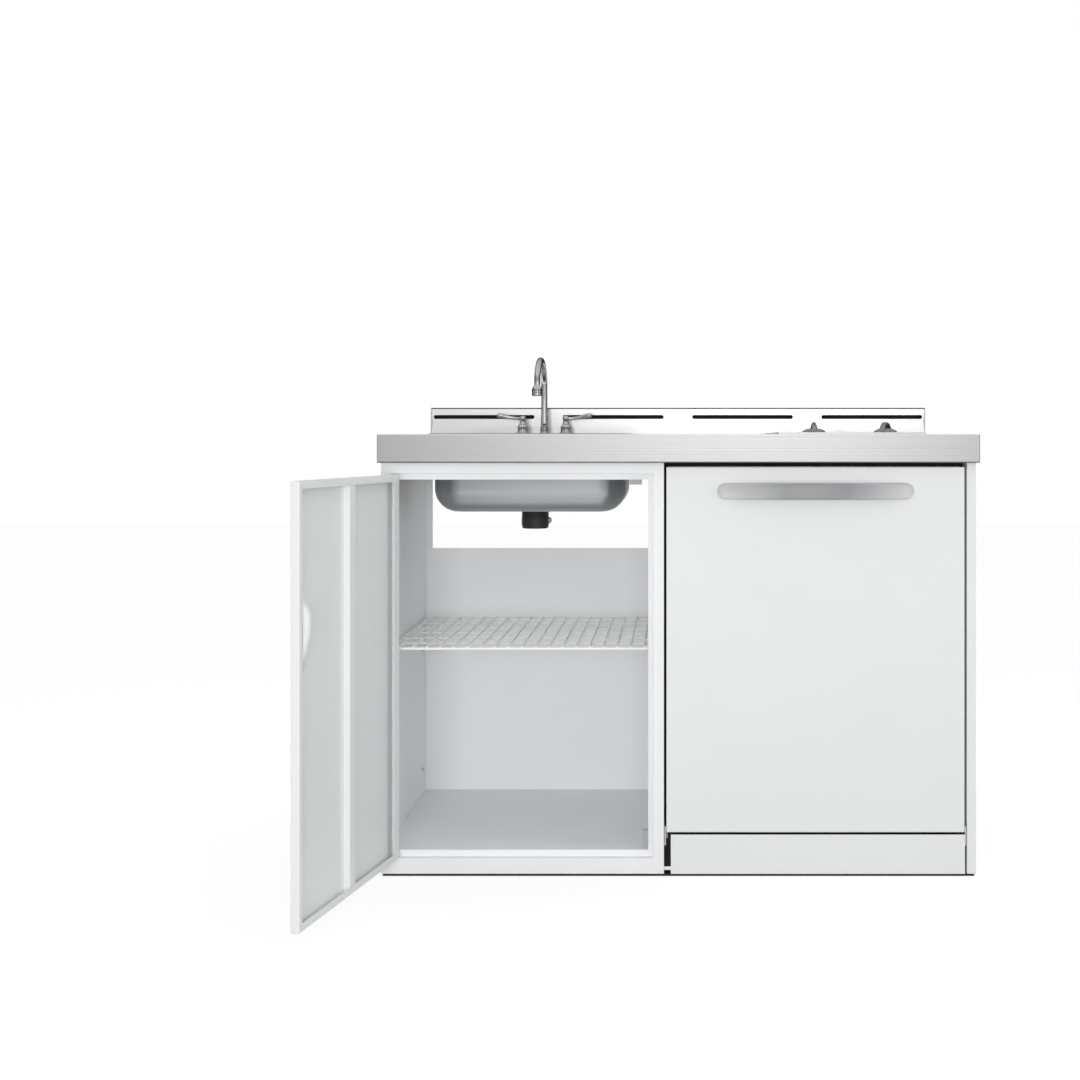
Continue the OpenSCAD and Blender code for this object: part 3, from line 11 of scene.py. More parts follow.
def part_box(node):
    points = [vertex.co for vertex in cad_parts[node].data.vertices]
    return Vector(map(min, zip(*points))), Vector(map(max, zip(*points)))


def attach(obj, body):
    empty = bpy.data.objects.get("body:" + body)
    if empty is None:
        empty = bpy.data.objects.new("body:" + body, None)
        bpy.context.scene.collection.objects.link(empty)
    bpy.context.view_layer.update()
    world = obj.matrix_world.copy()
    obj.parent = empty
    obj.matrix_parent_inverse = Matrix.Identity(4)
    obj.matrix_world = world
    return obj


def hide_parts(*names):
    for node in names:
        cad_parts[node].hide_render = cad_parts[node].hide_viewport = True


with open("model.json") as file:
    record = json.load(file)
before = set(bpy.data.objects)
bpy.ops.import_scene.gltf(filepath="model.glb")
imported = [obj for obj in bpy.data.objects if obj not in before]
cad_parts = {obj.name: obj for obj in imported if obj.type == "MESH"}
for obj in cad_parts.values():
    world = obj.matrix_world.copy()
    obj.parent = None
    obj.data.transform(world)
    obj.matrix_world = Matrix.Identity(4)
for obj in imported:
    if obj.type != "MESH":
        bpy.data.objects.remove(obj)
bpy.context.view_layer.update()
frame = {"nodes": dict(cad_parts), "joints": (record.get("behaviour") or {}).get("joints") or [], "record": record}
MM = 0.001
TOUCH = 1e-4

# ---------------------------------------------------------------- camera and light

FRONT_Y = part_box("front_frame")[0].y
CAMERA_DISTANCE = 3.4
CAMERA_X = -0.007
EYE_HEIGHT = 0.888
LENS = 55.7
SENSOR = 36.0
AXIS_PIXEL = (675.0, 440.0)
PHOTO_SIZE = 1080.0


def make_camera():
    data = bpy.data.cameras.new("camera")
    data.lens = LENS
    data.sensor_width = SENSOR
    data.shift_x = (PHOTO_SIZE / 2 - AXIS_PIXEL[0]) / PHOTO_SIZE
    data.shift_y = (AXIS_PIXEL[1] - PHOTO_SIZE / 2) / PHOTO_SIZE
    camera = bpy.data.objects.new("camera", data)
    camera.location = (CAMERA_X, FRONT_Y - CAMERA_DISTANCE, EYE_HEIGHT)
    camera.rotation_euler = (math.radians(90), 0, 0)
    bpy.context.scene.collection.objects.link(camera)
    bpy.context.scene.camera = camera


def area_light(name, place, target, size, watts):
    data = bpy.data.lights.new(name, "AREA")
    data.shape = "RECTANGLE"
    data.size, data.size_y = size
    data.energy = watts
    lamp = bpy.data.objects.new(name, data)
    lamp.location = place
    aim = Vector(target) - Vector(place)
    lamp.rotation_euler = aim.to_track_quat("-Z", "Y").to_euler()
    lamp.visible_glossy = False
    bpy.context.scene.collection.objects.link(lamp)


# tones of the room that the metal mirrors: from left to right and from front to back near eye
# level, from low to high, and how far a plain tone takes over above and below
WORLD_FILL = 0.7
ROOM_SIDES = (
    (0.0, 0.30), (0.07, 0.02), (0.14, 0.9), (0.21, 0.9), (0.26, 0.03), (0.34, 0.02), (0.38, 0.35),
    (0.42, 0.68), (0.46, 1.00), (0.49, 1.50), (0.515, 2.5), (0.545, 2.2), (0.585, 1.0), (0.62, 0.3),
    (0.67, 0.02), (0.75, 0.02), (0.80, 1.1), (0.87, 0.9), (0.93, 0.02), (1.0, 0.30),
)
ROOM_HEIGHTS = ((0.0, 0.8), (0.49, 0.85), (0.505, 1.25), (0.56, 1.25), (0.62, 0.7), (0.70, 0.6),
                (0.80, 1.0), (1.0, 0.85))
ROOM_DEPTHS = ((0.0, 1.0), (0.54, 1.0), (0.64, 0.05), (0.92, 0.05), (1.0, 0.35))
ROOM_PLAIN = ((0.0, 1.0), (0.24, 1.0), (0.34, 0.0), (0.64, 0.0), (0.72, 0.85), (1.0, 0.85))
PLAIN_TONE = 0.75


def grey(tone):
    return (tone, tone, tone, 1)


def tone_ramp(tree, source, tones):
    """Grey tones over a value that runs from -1 to 1."""
    ramp = tree.nodes.new("ShaderNodeValToRGB")
    stops = ramp.color_ramp.elements
    for stop, (position, tone) in ((stops[0], tones[0]), (stops[1], tones[-1])):
        stop.position, stop.color = position, grey(tone)
    for position, tone in tones[1:-1]:
        stops.new(position).color = grey(tone)
    spread = tree.nodes.new("ShaderNodeMapRange")
    spread.inputs["From Min"].default_value = -1
    tree.links.new(source, spread.inputs["Value"])
    tree.links.new(spread.outputs["Result"], ramp.inputs["Fac"])
    return ramp.outputs["Color"]


def mix_tones(tree, first, second):
    """One tone times the other."""
    mix = tree.nodes.new("ShaderNodeMix")
    mix.data_type = "RGBA"
    mix.blend_type = "MULTIPLY"
    mix.inputs["Factor"].default_value = 1.0
    tree.links.new(first, mix.inputs["A"])
    tree.links.new(second, mix.inputs["B"])
    return mix.outputs["Result"]


def either_ray(tree, first, second):
    """1 for a ray of either kind, 0 for the others."""
    path = tree.nodes.new("ShaderNodeLightPath")
    either = tree.nodes.new("ShaderNodeMath")
    either.operation = "MAXIMUM"
    tree.links.new(path.outputs[first], either.inputs[0])
    tree.links.new(path.outputs[second], either.inputs[1])
    return either.outputs[0]


def mix_shaders(tree, factor, first, second):
    mix = tree.nodes.new("ShaderNodeMixShader")
    for source, socket in ((factor, 0), (first.outputs[0], 1), (second.outputs[0], 2)):
        tree.links.new(source, mix.inputs[socket])
    return mix


def make_world():
    """White for the camera, an even fill for light, and a made-up room for what metal mirrors."""
    world = bpy.data.worlds.new("studio")
    bpy.context.scene.world = world
    world.use_nodes = True
    tree = world.node_tree
    tree.nodes.clear()
    node, join = tree.nodes.new, tree.links.new
    path = node("ShaderNodeLightPath")
    coords = node("ShaderNodeTexCoord")
    split = node("ShaderNodeSeparateXYZ")
    join(coords.outputs["Generated"], split.inputs[0])
    level = mix_tones(tree, tone_ramp(tree, split.outputs["X"], ROOM_SIDES),
                      tone_ramp(tree, split.outputs["Y"], ROOM_DEPTHS))
    around = node("ShaderNodeMix")
    around.data_type = "RGBA"
    join(tone_ramp(tree, split.outputs["Z"], ROOM_PLAIN), around.inputs["Factor"])
    join(level, around.inputs["A"])
    around.inputs["B"].default_value = grey(PLAIN_TONE)
    mirror = node("ShaderNodeBackground")
    join(mix_tones(tree, around.outputs["Result"],
                   tone_ramp(tree, split.outputs["Z"], ROOM_HEIGHTS)), mirror.inputs["Color"])
    fill = node("ShaderNodeBackground")
    backdrop = node("ShaderNodeBackground")
    for shader in (fill, backdrop):
        shader.inputs["Color"].default_value = grey(1)
    fill.inputs["Strength"].default_value = WORLD_FILL
    glossy = mix_shaders(tree, path.outputs["Is Glossy Ray"], fill, mirror)
    through = either_ray(tree, "Is Camera Ray", "Is Transmission Ray")
    seen = mix_shaders(tree, through, glossy, backdrop)
    join(seen.outputs[0], node("ShaderNodeOutputWorld").inputs["Surface"])


FLOOR_SIZE = 14.0
FLOOR_TONE = 0.36
FLOOR_GLOW = 0.73


def make_floor():
    """A pale floor that glows for the camera and for metal, and keeps the object's shadow."""
    bm = bmesh.new()
    bmesh.ops.create_grid(bm, x_segments=1, y_segments=1, size=FLOOR_SIZE)
    mesh = bpy.data.meshes.new("floor")
    bm.to_mesh(mesh)
    bm.free()
    floor = bpy.data.objects.new("floor", mesh)
    bpy.context.scene.collection.objects.link(floor)
    mat = bpy.data.materials.new("floor_pale")
    mat.use_nodes = True
    tree = mat.node_tree
    tree.nodes.clear()
    node, join = tree.nodes.new, tree.links.new
    diffuse = node("ShaderNodeBsdfDiffuse")
    diffuse.inputs["Color"].default_value = grey(FLOOR_TONE)
    glow = node("ShaderNodeEmission")
    glow.inputs["Strength"].default_value = FLOOR_GLOW
    dark = node("ShaderNodeEmission")
    dark.inputs["Strength"].default_value = 0.0
    choose = mix_shaders(tree, either_ray(tree, "Is Camera Ray", "Is Glossy Ray"), dark, glow)
    add = node("ShaderNodeAddShader")
    join(diffuse.outputs[0], add.inputs[0])
    join(choose.outputs[0], add.inputs[1])
    join(add.outputs[0], node("ShaderNodeOutputMaterial").inputs["Surface"])
    mesh.materials.append(mat)


bpy.context.scene.view_settings.view_transform = "Standard"
make_camera()
make_world()
make_floor()
# name, place, aim, size in metres, watts
for lamp in (("front", (-0.3, -3.9, 0.7), (-0.25, 0, 0.5), (1.2, 0.9), 54),
             ("right", (3.4, -1.5, 0.9), (-0.6, -0.6, 0.45), (1.2, 1.4), 18),
             ("top", (0.2, 0.2, 3.2), (0.1, 0, 0.6), (2.6, 1.6), 8)):
    area_light(*lamp)


# ---------------------------------------------------------------- materials

class Finish:
    """A procedural material: a shader with patterns in the object's own space."""

    def __init__(self, name, color, roughness, metallic=0.0, **sockets):
        self.mat = bpy.data.materials.new(name)
        self.mat.use_nodes = True
        self.tree = self.mat.node_tree
        self.shader = self.tree.nodes["Principled BSDF"]
        self.color = (*color, 1)
        self.set("Base Color", self.color)
        self.set("Roughness", roughness)
        self.set("Metallic", metallic)
        for socket, value in sockets.items():
            self.set(socket.replace("_", " "), value)
        self.bump_out = None

    def set(self, socket, value):
        self.shader.inputs[socket].default_value = value

    def node(self, kind):
        return self.tree.nodes.new(kind)

    def join(self, source, target):
        self.tree.links.new(source, target)

    def place(self, stretch=(1, 1, 1)):
        """The object's own coordinates, stretched along its axes."""
        coords = self.node("ShaderNodeTexCoord")
        mapping = self.node("ShaderNodeMapping")
        mapping.inputs["Scale"].default_value = stretch
        self.join(coords.outputs["Object"], mapping.inputs["Vector"])
        return mapping.outputs["Vector"]

    def noise(self, scale, detail=4.0, stretch=(1, 1, 1)):
        noise = self.node("ShaderNodeTexNoise")
        noise.inputs["Scale"].default_value = scale
        noise.inputs["Detail"].default_value = detail
        self.join(self.place(stretch), noise.inputs["Vector"])
        return noise.outputs["Fac"]

    def cells(self, scale):
        cells = self.node("ShaderNodeTexVoronoi")
        cells.inputs["Scale"].default_value = scale
        self.join(self.place(), cells.inputs["Vector"])
        return cells.outputs["Distance"]

    def from_middle(self):
        """Distance from the piece's middle along X, 0.5 at its ends."""
        coords = self.node("ShaderNodeTexCoord")
        split = self.node("ShaderNodeSeparateXYZ")
        self.join(coords.outputs["Generated"], split.inputs[0])
        distance = self.node("ShaderNodeMath")
        centred = self.node("ShaderNodeMath")
        centred.operation = "SUBTRACT"
        centred.inputs[1].default_value = 0.5
        distance.operation = "ABSOLUTE"
        self.join(split.outputs["X"], centred.inputs[0])
        self.join(centred.outputs[0], distance.inputs[0])
        return distance.outputs[0]

    def spread(self, value, low, high, start=0.3, end=0.7):
        """A pattern's middle values spread between two numbers."""
        spread = self.node("ShaderNodeMapRange")
        spread.inputs["From Min"].default_value = start
        spread.inputs["From Max"].default_value = end
        spread.inputs["To Min"].default_value = low
        spread.inputs["To Max"].default_value = high
        self.join(value, spread.inputs["Value"])
        return spread.outputs["Result"]

    def vary_roughness(self, value, low, high):
        self.join(self.spread(value, low, high), self.shader.inputs["Roughness"])

    def vary_color(self, value, other, start=0.35, end=0.65):
        mix = self.node("ShaderNodeMix")
        mix.data_type = "RGBA"
        mix.inputs["A"].default_value = self.color
        mix.inputs["B"].default_value = (*other, 1)
        self.join(self.spread(value, 0, 1, start, end), mix.inputs["Factor"])
        self.join(mix.outputs["Result"], self.shader.inputs["Base Color"])

    def bump(self, value, depth, strength=1.0):
        """Relief of a real depth in metres; a second call adds to the first."""
        bump = self.node("ShaderNodeBump")
        bump.inputs["Strength"].default_value = strength
        bump.inputs["Distance"].default_value = depth
        self.join(value, bump.inputs["Height"])
        if self.bump_out:
            self.join(self.bump_out, bump.inputs["Normal"])
        self.bump_out = bump.outputs["Normal"]
        self.join(self.bump_out, self.shader.inputs["Normal"])


def powder_coat(name, color, roughness=0.42, peel=0.00003):
    """White enamel on sheet steel: faint orange peel, soft sheen, slightly uneven tone."""
    f = Finish(name, color, roughness, Specular_IOR_Level=0.45)
    f.vary_color(f.noise(2.2, 3), tuple(c * 0.975 for c in color))
    f.vary_roughness(f.noise(14, 3), roughness - 0.05, roughness + 0.06)
    f.bump(f.noise(650, 2), peel)
    f.bump(f.noise(7, 2), peel * 6, 0.35)
    return f.mat


def brushed(name, color, roughness, grain, other=None, depth=0.00002, metallic=1.0):
    """Steel brushed along one axis; grain is the stretch that draws the lines out."""
    f = Finish(name, color, roughness, metallic)
    lines = f.noise(1, 5, grain)
    f.vary_color(lines, other or tuple(c * 0.86 for c in color))
    coarse = tuple(g * 0.45 for g in grain)
    f.vary_roughness(f.noise(1, 3, coarse), roughness - 0.03, roughness + 0.03)
    f.bump(lines, depth, 0.6)
    return f.mat


def polished(name, color, roughness=0.05):
    """Chrome plate with a trace of handling marks; its dark specular tint darkens the edges, a painted dark
    reflection.
    """
    f = Finish(name, color, roughness, 1.0, Specular_Tint=(0.12, 0.12, 0.12, 1))
    f.vary_roughness(f.noise(60, 4), roughness * 0.6, roughness * 2.2)
    f.vary_color(f.noise(25, 3), tuple(c * 0.94 for c in color))
    return f.mat


def plastic(name, color, roughness=0.45, grain=900.0, depth=0.00003):
    """Moulded plastic with a fine eroded grain."""
    f = Finish(name, color, roughness, Specular_IOR_Level=0.4)
    f.bump(f.noise(grain, 3), depth)
    f.vary_roughness(f.noise(40, 3), roughness - 0.06, roughness + 0.08)
    f.vary_color(f.noise(5, 2), tuple(c * 0.93 for c in color))
    return f.mat


def zinc_plate(name, color):
    """Zinc-plated sheet with faint spangle."""
    f = Finish(name, color, 0.38, 0.9)
    f.vary_color(f.cells(180), tuple(c * 0.8 for c in color), 0.1, 0.6)
    f.vary_roughness(f.noise(90, 3), 0.28, 0.5)
    f.bump(f.noise(320, 2), 0.00002)
    return f.mat


WHITE = (0.83, 0.845, 0.85)
X_GRAIN = (1.4, 700, 700)
Y_GRAIN = (700, 1.4, 700)
Z_GRAIN = (700, 700, 1.4)

enamel = powder_coat("white_enamel", WHITE)
# the face frame and the cabinet's inside take lighter copies of the same white enamel: painted light that offsets
# their shade
frame_enamel_painted_light = powder_coat("frame_enamel_painted_light", (0.90, 0.91, 0.92))
enamel_inside_painted_light = powder_coat("white_enamel_inside", (0.92, 0.93, 0.94), 0.5)
worktop_steel = brushed("worktop_steel", (0.56, 0.565, 0.57), 0.26, X_GRAIN,
                        (0.53, 0.535, 0.54), 0.000006)
# a lighter, less metallic copy of the worktop's steel for the backsplash and the worktop's nose: a painted
# highlight
splash_steel_painted_highlight = brushed("splash_steel_painted_highlight", (0.87, 0.875, 0.88), 0.18, X_GRAIN, (0.84, 0.845, 0.85),
                       0.000004, 0.6)
# dark steel for the worktop's lower front fold and the backsplash's top fold: a painted shade line
fold_steel_painted_shade = brushed("fold_steel_painted_shade", (0.16, 0.163, 0.167), 0.4, X_GRAIN)
bowl_steel = brushed("bowl_steel", (0.43, 0.445, 0.45), 0.34, (9, 9, 700),
                     (0.38, 0.395, 0.40), 0.00001)
tub_steel = brushed("tub_steel", (0.72, 0.725, 0.73), 0.3, Z_GRAIN, depth=0.000008)
trim_steel = brushed("trim_steel", (0.66, 0.665, 0.67), 0.24, Y_GRAIN)
chrome = polished("chrome", (0.68, 0.685, 0.695), 0.03)
knob_satin = brushed("knob_satin", (0.40, 0.395, 0.39), 0.27, (500, 500, 6), depth=0.00001)
handle_satin = Finish("handle_satin", (0.33, 0.335, 0.345), 0.36, 0.3)
# the handle's darker middle and lighter ends are a painted reflection in its base colour
handle_satin.vary_color(handle_satin.from_middle(), (0.66, 0.665, 0.675), 0.16, 0.48)
handle_satin.vary_roughness(handle_satin.noise(30, 3), 0.31, 0.42)
handle_satin.bump(handle_satin.noise(900, 2), 0.00001)
handle_satin = handle_satin.mat
black_plastic = plastic("black_plastic", (0.025, 0.025, 0.027))
grey_plastic = plastic("grey_plastic", (0.42, 0.43, 0.445))
pale_plastic = plastic("pale_plastic", (0.70, 0.71, 0.715), 0.38)
white_plastic = plastic("white_plastic", (0.82, 0.83, 0.835), 0.36)
rubber = plastic("rubber", (0.018, 0.018, 0.019), 0.68, 500, 0.00006)
# black paint, also laid inside the backsplash as painted shade behind its slots
black_paint_and_painted_shade = plastic("black_paint_and_painted_shade", (0.012, 0.012, 0.013), 0.6, 300, 0.00002)
zinc = zinc_plate("zinc", (0.56, 0.57, 0.585))
brass = polished("brass", (0.72, 0.53, 0.22), 0.22)
# the shelf's white coating is set lighter than the enamel: painted light that offsets the shade on the wires
white_wire = powder_coat("white_wire", (0.97, 0.97, 0.97), 0.38, 0.00005)
rack_wire = powder_coat("rack_wire", (0.50, 0.52, 0.54), 0.42, 0.00005)
fibre = plastic("ceramic_fibre", (0.55, 0.53, 0.49), 0.9, 400, 0.0002)
glass = Finish("hob_glass", (0.012, 0.012, 0.014), 0.06, Specular_IOR_Level=0.6, Coat_Weight=0.4)
glass.vary_roughness(glass.noise(18, 4), 0.04, 0.09)
glass.vary_color(glass.noise(1400, 1), (0.03, 0.03, 0.034), 0.62, 0.72)
glass = glass.mat
print_grey = plastic("print_grey", (0.42, 0.42, 0.43), 0.35, 700, 0.00001)

# ---------------------------------------------------------------- shapes

SHARP = math.radians(38)
FLAT = math.radians(0.4)
WELD = 2e-6


def add_piece(name, bm, mat, body, nodes=(), bevel=None, segments=2, clamp=True):
    """Turns a bmesh into a named piece that rides on a body and stands for CAD nodes."""
    split_faces(bm)
    bmesh.ops.recalc_face_normals(bm, faces=bm.faces)
    for edge in bm.edges:
        edge.smooth = len(edge.link_faces) == 2 and edge.calc_face_angle(0) < SHARP
    for face in bm.faces:
        face.smooth = True
    mesh = bpy.data.meshes.new(name)
    bm.to_mesh(mesh)
    bm.free()
    for entry in mat if isinstance(mat, (list, tuple)) else [mat]:
        mesh.materials.append(entry)
    obj = bpy.data.objects.new(name, mesh)
    bpy.context.scene.collection.objects.link(obj)
    if bevel:
        round_off = obj.modifiers.new("round_off", "BEVEL")
        round_off.width = bevel
        round_off.segments = segments
        round_off.limit_method = "ANGLE"
        round_off.angle_limit = SHARP
        round_off.use_clamp_overlap = clamp
        even_out = obj.modifiers.new("even_normals", "WEIGHTED_NORMAL")
        even_out.keep_sharp = True
    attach(obj, body)
    if nodes:
        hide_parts(*nodes)
    return obj


def node_mesh(node):
    """A welded bmesh copy of a CAD node without needless edges on its flat faces."""
    bm = bmesh.new()
    bm.from_mesh(frame["nodes"][node].data)
    bmesh.ops.remove_doubles(bm, verts=bm.verts, dist=WELD)
    bmesh.ops.dissolve_limit(bm, angle_limit=FLAT, verts=bm.verts, edges=bm.edges)
    split_faces(bm)
    return bm


def split_faces(bm):
    """Cuts the faces of more than four corners, so that those round an opening stay right."""
    bmesh.ops.triangulate(bm, faces=[f for f in bm.faces if len(f.verts) > 4])


def fillet(bm, test, width, segments=4):
    """Rounds the edges whose two ends pass a test."""
    edges = [e for e in bm.edges if e.is_manifold and e.calc_face_angle(0) > SHARP
             and test(e.verts[0].co, e.verts[1].co)]
    if edges:
        bmesh.ops.bevel(bm, geom=edges, offset=width, segments=segments, profile=0.5,
                        affect="EDGES", clamp_overlap=False)


def on_plane(axis, value):
    return lambda a, b: abs(a[axis] - value) < TOUCH and abs(b[axis] - value) < TOUCH


def on_any(a, b, *planes):
    """How many of the planes an edge lies on."""
    return sum(on_plane(axis, value)(a, b) for axis, value in planes)


def mesh_box(bm):
    return [Vector([pick(v.co[i] for v in bm.verts) for i in range(3)]) for pick in (min, max)]


def body_of_node(node):
    for body, nodes in frame["record"]["behaviour"]["bodies"].items():
        if node in nodes:
            return body
    return "root"


def dressed(node, mat, bevel=0.5 * MM, segments=2, fillets=(), clamp=True):
    """The CAD node's own form with its edges rounded off, under a finished surface."""
    bm = node_mesh(node)
    for test, width in fillets:
        fillet(bm, test, width)
    return add_piece(node + "_finished", bm, mat, body_of_node(node), (node,),
                     bevel, segments, clamp)


def sweep(bm, points, radii, sides=20):
    """A closed round tube along points; radii may vary, and a radius may be (wide, thin)."""
    points = [Vector(p) for p in points]
    count = len(points)
    if not isinstance(radii, (list, tuple)):
        radii = [radii] * count
    tangent = (points[1] - points[0]).normalized()
    side = tangent.orthogonal().normalized()
    if abs(tangent.z) < 0.9:
        side = tangent.cross(Vector((0, 0, 1))).normalized()
    rings = []
    for i, point in enumerate(points):
        ahead = points[min(i + 1, count - 1)] - points[max(i - 1, 0)]
        turn = tangent.rotation_difference(ahead.normalized())
        side = (turn @ side).normalized()
        tangent = ahead.normalized()
        up = tangent.cross(side)
        wide, thin = radii[i] if isinstance(radii[i], tuple) else (radii[i], radii[i])
        rings.append([bm.verts.new(point + side * wide * math.cos(a) + up * thin * math.sin(a))
                      for a in angles(sides)])
    join_rings(bm, rings)
    bm.faces.new(rings[0][::-1])
    bm.faces.new(rings[-1])


def angles(count):
    """Evenly spread angles round a circle."""
    return [2 * math.pi * k / count for k in range(count)]


def squared(value, power):
    """A sine or cosine bent towards a square section by a power below 1."""
    return math.copysign(abs(value) ** power, value)


def join_rings(bm, rings, close=False):
    pairs = list(zip(rings, rings[1:]))
    if close:
        pairs.append((rings[-1], rings[0]))
    for low, high in pairs:
        n = len(low)
        for k in range(n):
            bm.faces.new((low[k], low[(k + 1) % n], high[(k + 1) % n], high[k]))


def lathe(bm, profile, centre, segments=48, turn=None):
    """A solid of revolution about Z. profile is (radius, height) pairs; a radius of 0 is a tip."""
    centre = Vector(centre)
    turn = turn or Matrix.Identity(3)
    rings = []
    for r, z in profile:
        if r == 0:
            rings.append([bm.verts.new(centre + turn @ Vector((0, 0, z)))])
            continue
        rings.append([bm.verts.new(centre + turn @ Vector((r * math.cos(a), r * math.sin(a), z)))
                      for a in angles(segments)])
    for low, high in zip(rings, rings[1:]):
        for k in range(segments):
            quad = [low[k % len(low)], low[(k + 1) % len(low)],
                    high[(k + 1) % len(high)], high[k % len(high)]]
            corners = list(dict.fromkeys(quad))
            if len(corners) > 2:
                bm.faces.new(corners)
    if len(rings[0]) > 1 and len(rings[-1]) > 1:
        if profile[0] == profile[-1]:
            raise ValueError("a closed profile is given without its last point")
        for k in range(segments):
            bm.faces.new((rings[-1][k], rings[-1][(k + 1) % segments],
                          rings[0][(k + 1) % segments], rings[0][k]))


def above(base, *points):
    """Points of a lathe's profile, given in millimetres, above a height."""
    return [(r * MM, base + z * MM) for r, z in points]


def smooth_path(points, steps=8):
    """A rounded curve through given points (Catmull-Rom)."""
    pts = [Vector(p) for p in points]
    pts = [2 * pts[0] - pts[1]] + pts + [2 * pts[-1] - pts[-2]]
    out = []
    for a, b, c, d in zip(pts, pts[1:], pts[2:], pts[3:]):
        for i in range(steps):
            t = i / steps
            out.append(0.5 * (2 * b + (c - a) * t + (2 * a - 5 * b + 4 * c - d) * t * t
                              + (3 * b - a - 3 * c + d) * t ** 3))
    out.append(pts[-2])
    return out


def rounded_ring(bm, cx, cy, w, d, r, z, corner_steps=8):
    """A ring of points on a rectangle with round corners."""
    ring = []
    for sx, sy, start in ((1, 1, 0), (-1, 1, 90), (-1, -1, 180), (1, -1, 270)):
        ox, oy = cx + sx * (w / 2 - r), cy + sy * (d / 2 - r)
        for i in range(corner_steps + 1):
            a = math.radians(start + 90 * i / corner_steps)
            ring.append(bm.verts.new((ox + r * math.cos(a), oy + r * math.sin(a), z)))
    return ring


def round_ring(bm, ring, cx, cy, r, z):
    """A circle with as many points as a ring, each in line with its own point there."""
    out = []
    for v in ring:
        aim = Vector((v.co.x - cx, v.co.y - cy)).normalized() * r
        out.append(bm.verts.new((cx + aim.x, cy + aim.y, z)))
    return out


def box_in(bm, x0, x1, y0, y1, z0, z1):
    for v in bmesh.ops.create_cube(bm, size=1.0)["verts"]:
        v.co = Vector(((x0 + x1) / 2 + v.co.x * (x1 - x0), (y0 + y1) / 2 + v.co.y * (y1 - y0),
                       (z0 + z1) / 2 + v.co.z * (z1 - z0)))


# ---------------------------------------------------------------- cabinet

def make_front_frame():
    bm = node_mesh("front_frame")
    fillet(bm, on_plane(1, FRONT_Y), 1.3 * MM, 4)
    add_piece("front_frame_finished", bm, frame_enamel_painted_light, "root", ("front_frame",),
              0.3 * MM, 2, False)


def make_carcass():
    for node in ("left_side_panel", "centre_partition"):
        dressed(node, enamel_inside_painted_light, 0.35 * MM)
    front = on_plane(1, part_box("right_end_panel")[0].y)
    dressed("right_end_panel", enamel, 0.35 * MM,
            fillets=((front, 1.3 * MM),), clamp=False)
    for node in ("cabinet_floor", "back_panel"):
        dressed(node, enamel_inside_painted_light, 0.35 * MM)
    dressed("worktop_rails", enamel_inside_painted_light, 0.3 * MM)
    dressed("plinth_frame", black_paint_and_painted_shade, 0.8 * MM)


# ---------------------------------------------------------------- worktop

NOSE = 2.0 * MM
FOLD = 2.4 * MM
SHEET = 2 * MM
HEM = 14 * MM
HEM_T = 1.2 * MM


def make_worktop():
    lo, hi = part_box("worktop")
    bm = node_mesh("worktop")

    def outer_top(a, b):
        return on_plane(2, hi.z)(a, b) and on_any(a, b, (0, lo.x), (0, hi.x), (1, lo.y))

    def outer_corner(a, b):
        return on_plane(1, lo.y)(a, b) and all(min(abs(p.x - lo.x), abs(p.x - hi.x)) < TOUCH
                                               for p in (a, b))

    fillet(bm, lambda a, b: on_any(a, b, (1, lo.y), (2, lo.z)) == 2, FOLD, 3)
    fillet(bm, lambda a, b: outer_top(a, b) or outer_corner(a, b), NOSE, 5)
    for face in bm.faces:
        c, n = face.calc_center_median(), face.normal
        # lower front fold: dark steel, a painted shade line; nose: light steel, a painted highlight
        if c.y < lo.y + FOLD and c.z < lo.z + FOLD and n.y < -0.1:
            face.material_index = 1
        elif c.y < lo.y + NOSE and c.z > hi.z - NOSE and n.z > 0.1:
            face.material_index = 2
    # hem that turns back below the apron
    box_in(bm, lo.x + SHEET, hi.x - SHEET, lo.y + SHEET, lo.y + SHEET + HEM, lo.z, lo.z + HEM_T)
    add_piece("worktop_finished", bm, [worktop_steel, fold_steel_painted_shade, splash_steel_painted_highlight], "root",
              ("worktop",), 0.35 * MM)


SPLASH_FOLD = 3.0 * MM


def make_backsplash():
    lo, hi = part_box("backsplash")
    bm = node_mesh("backsplash")
    fillet(bm, lambda a, b: on_plane(1, lo.y)(a, b)
           and on_any(a, b, (2, hi.z), (0, lo.x), (0, hi.x)), SPLASH_FOLD, 4)
    for face in bm.faces:
        # the hollow and its slots take black, painted shade behind the vent slots; the top fold takes the dark
        # steel, a painted shade line
        if is_inside(face, lo, hi):
            face.material_index = 1
        elif face.calc_center_median().z > hi.z - SPLASH_FOLD and face.normal.y < -0.1:
            face.material_index = 2
    add_piece("backsplash_finished", bm, [splash_steel_painted_highlight, black_paint_and_painted_shade, fold_steel_painted_shade], "root",
              ("backsplash",), 0.3 * MM, 2, False)


def is_inside(face, lo, hi, skin=0.8 * MM):
    """True for a face of a box's hollow or of its slots."""
    c = face.calc_center_median()
    return all(lo[i] + skin < c[i] < hi[i] - skin for i in range(3))


# ---------------------------------------------------------------- sink

def centre_of(node):
    lo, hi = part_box(node)
    return (lo + hi) / 2


BOWL_SHEET = 1.5 * MM
BOWL_CORNER = 60 * MM
BOWL_FLOOR_ROUND = 48 * MM
BOWL_SIZE = (405 * MM, 355 * MM)
DRAIN_HOLE = 27 * MM


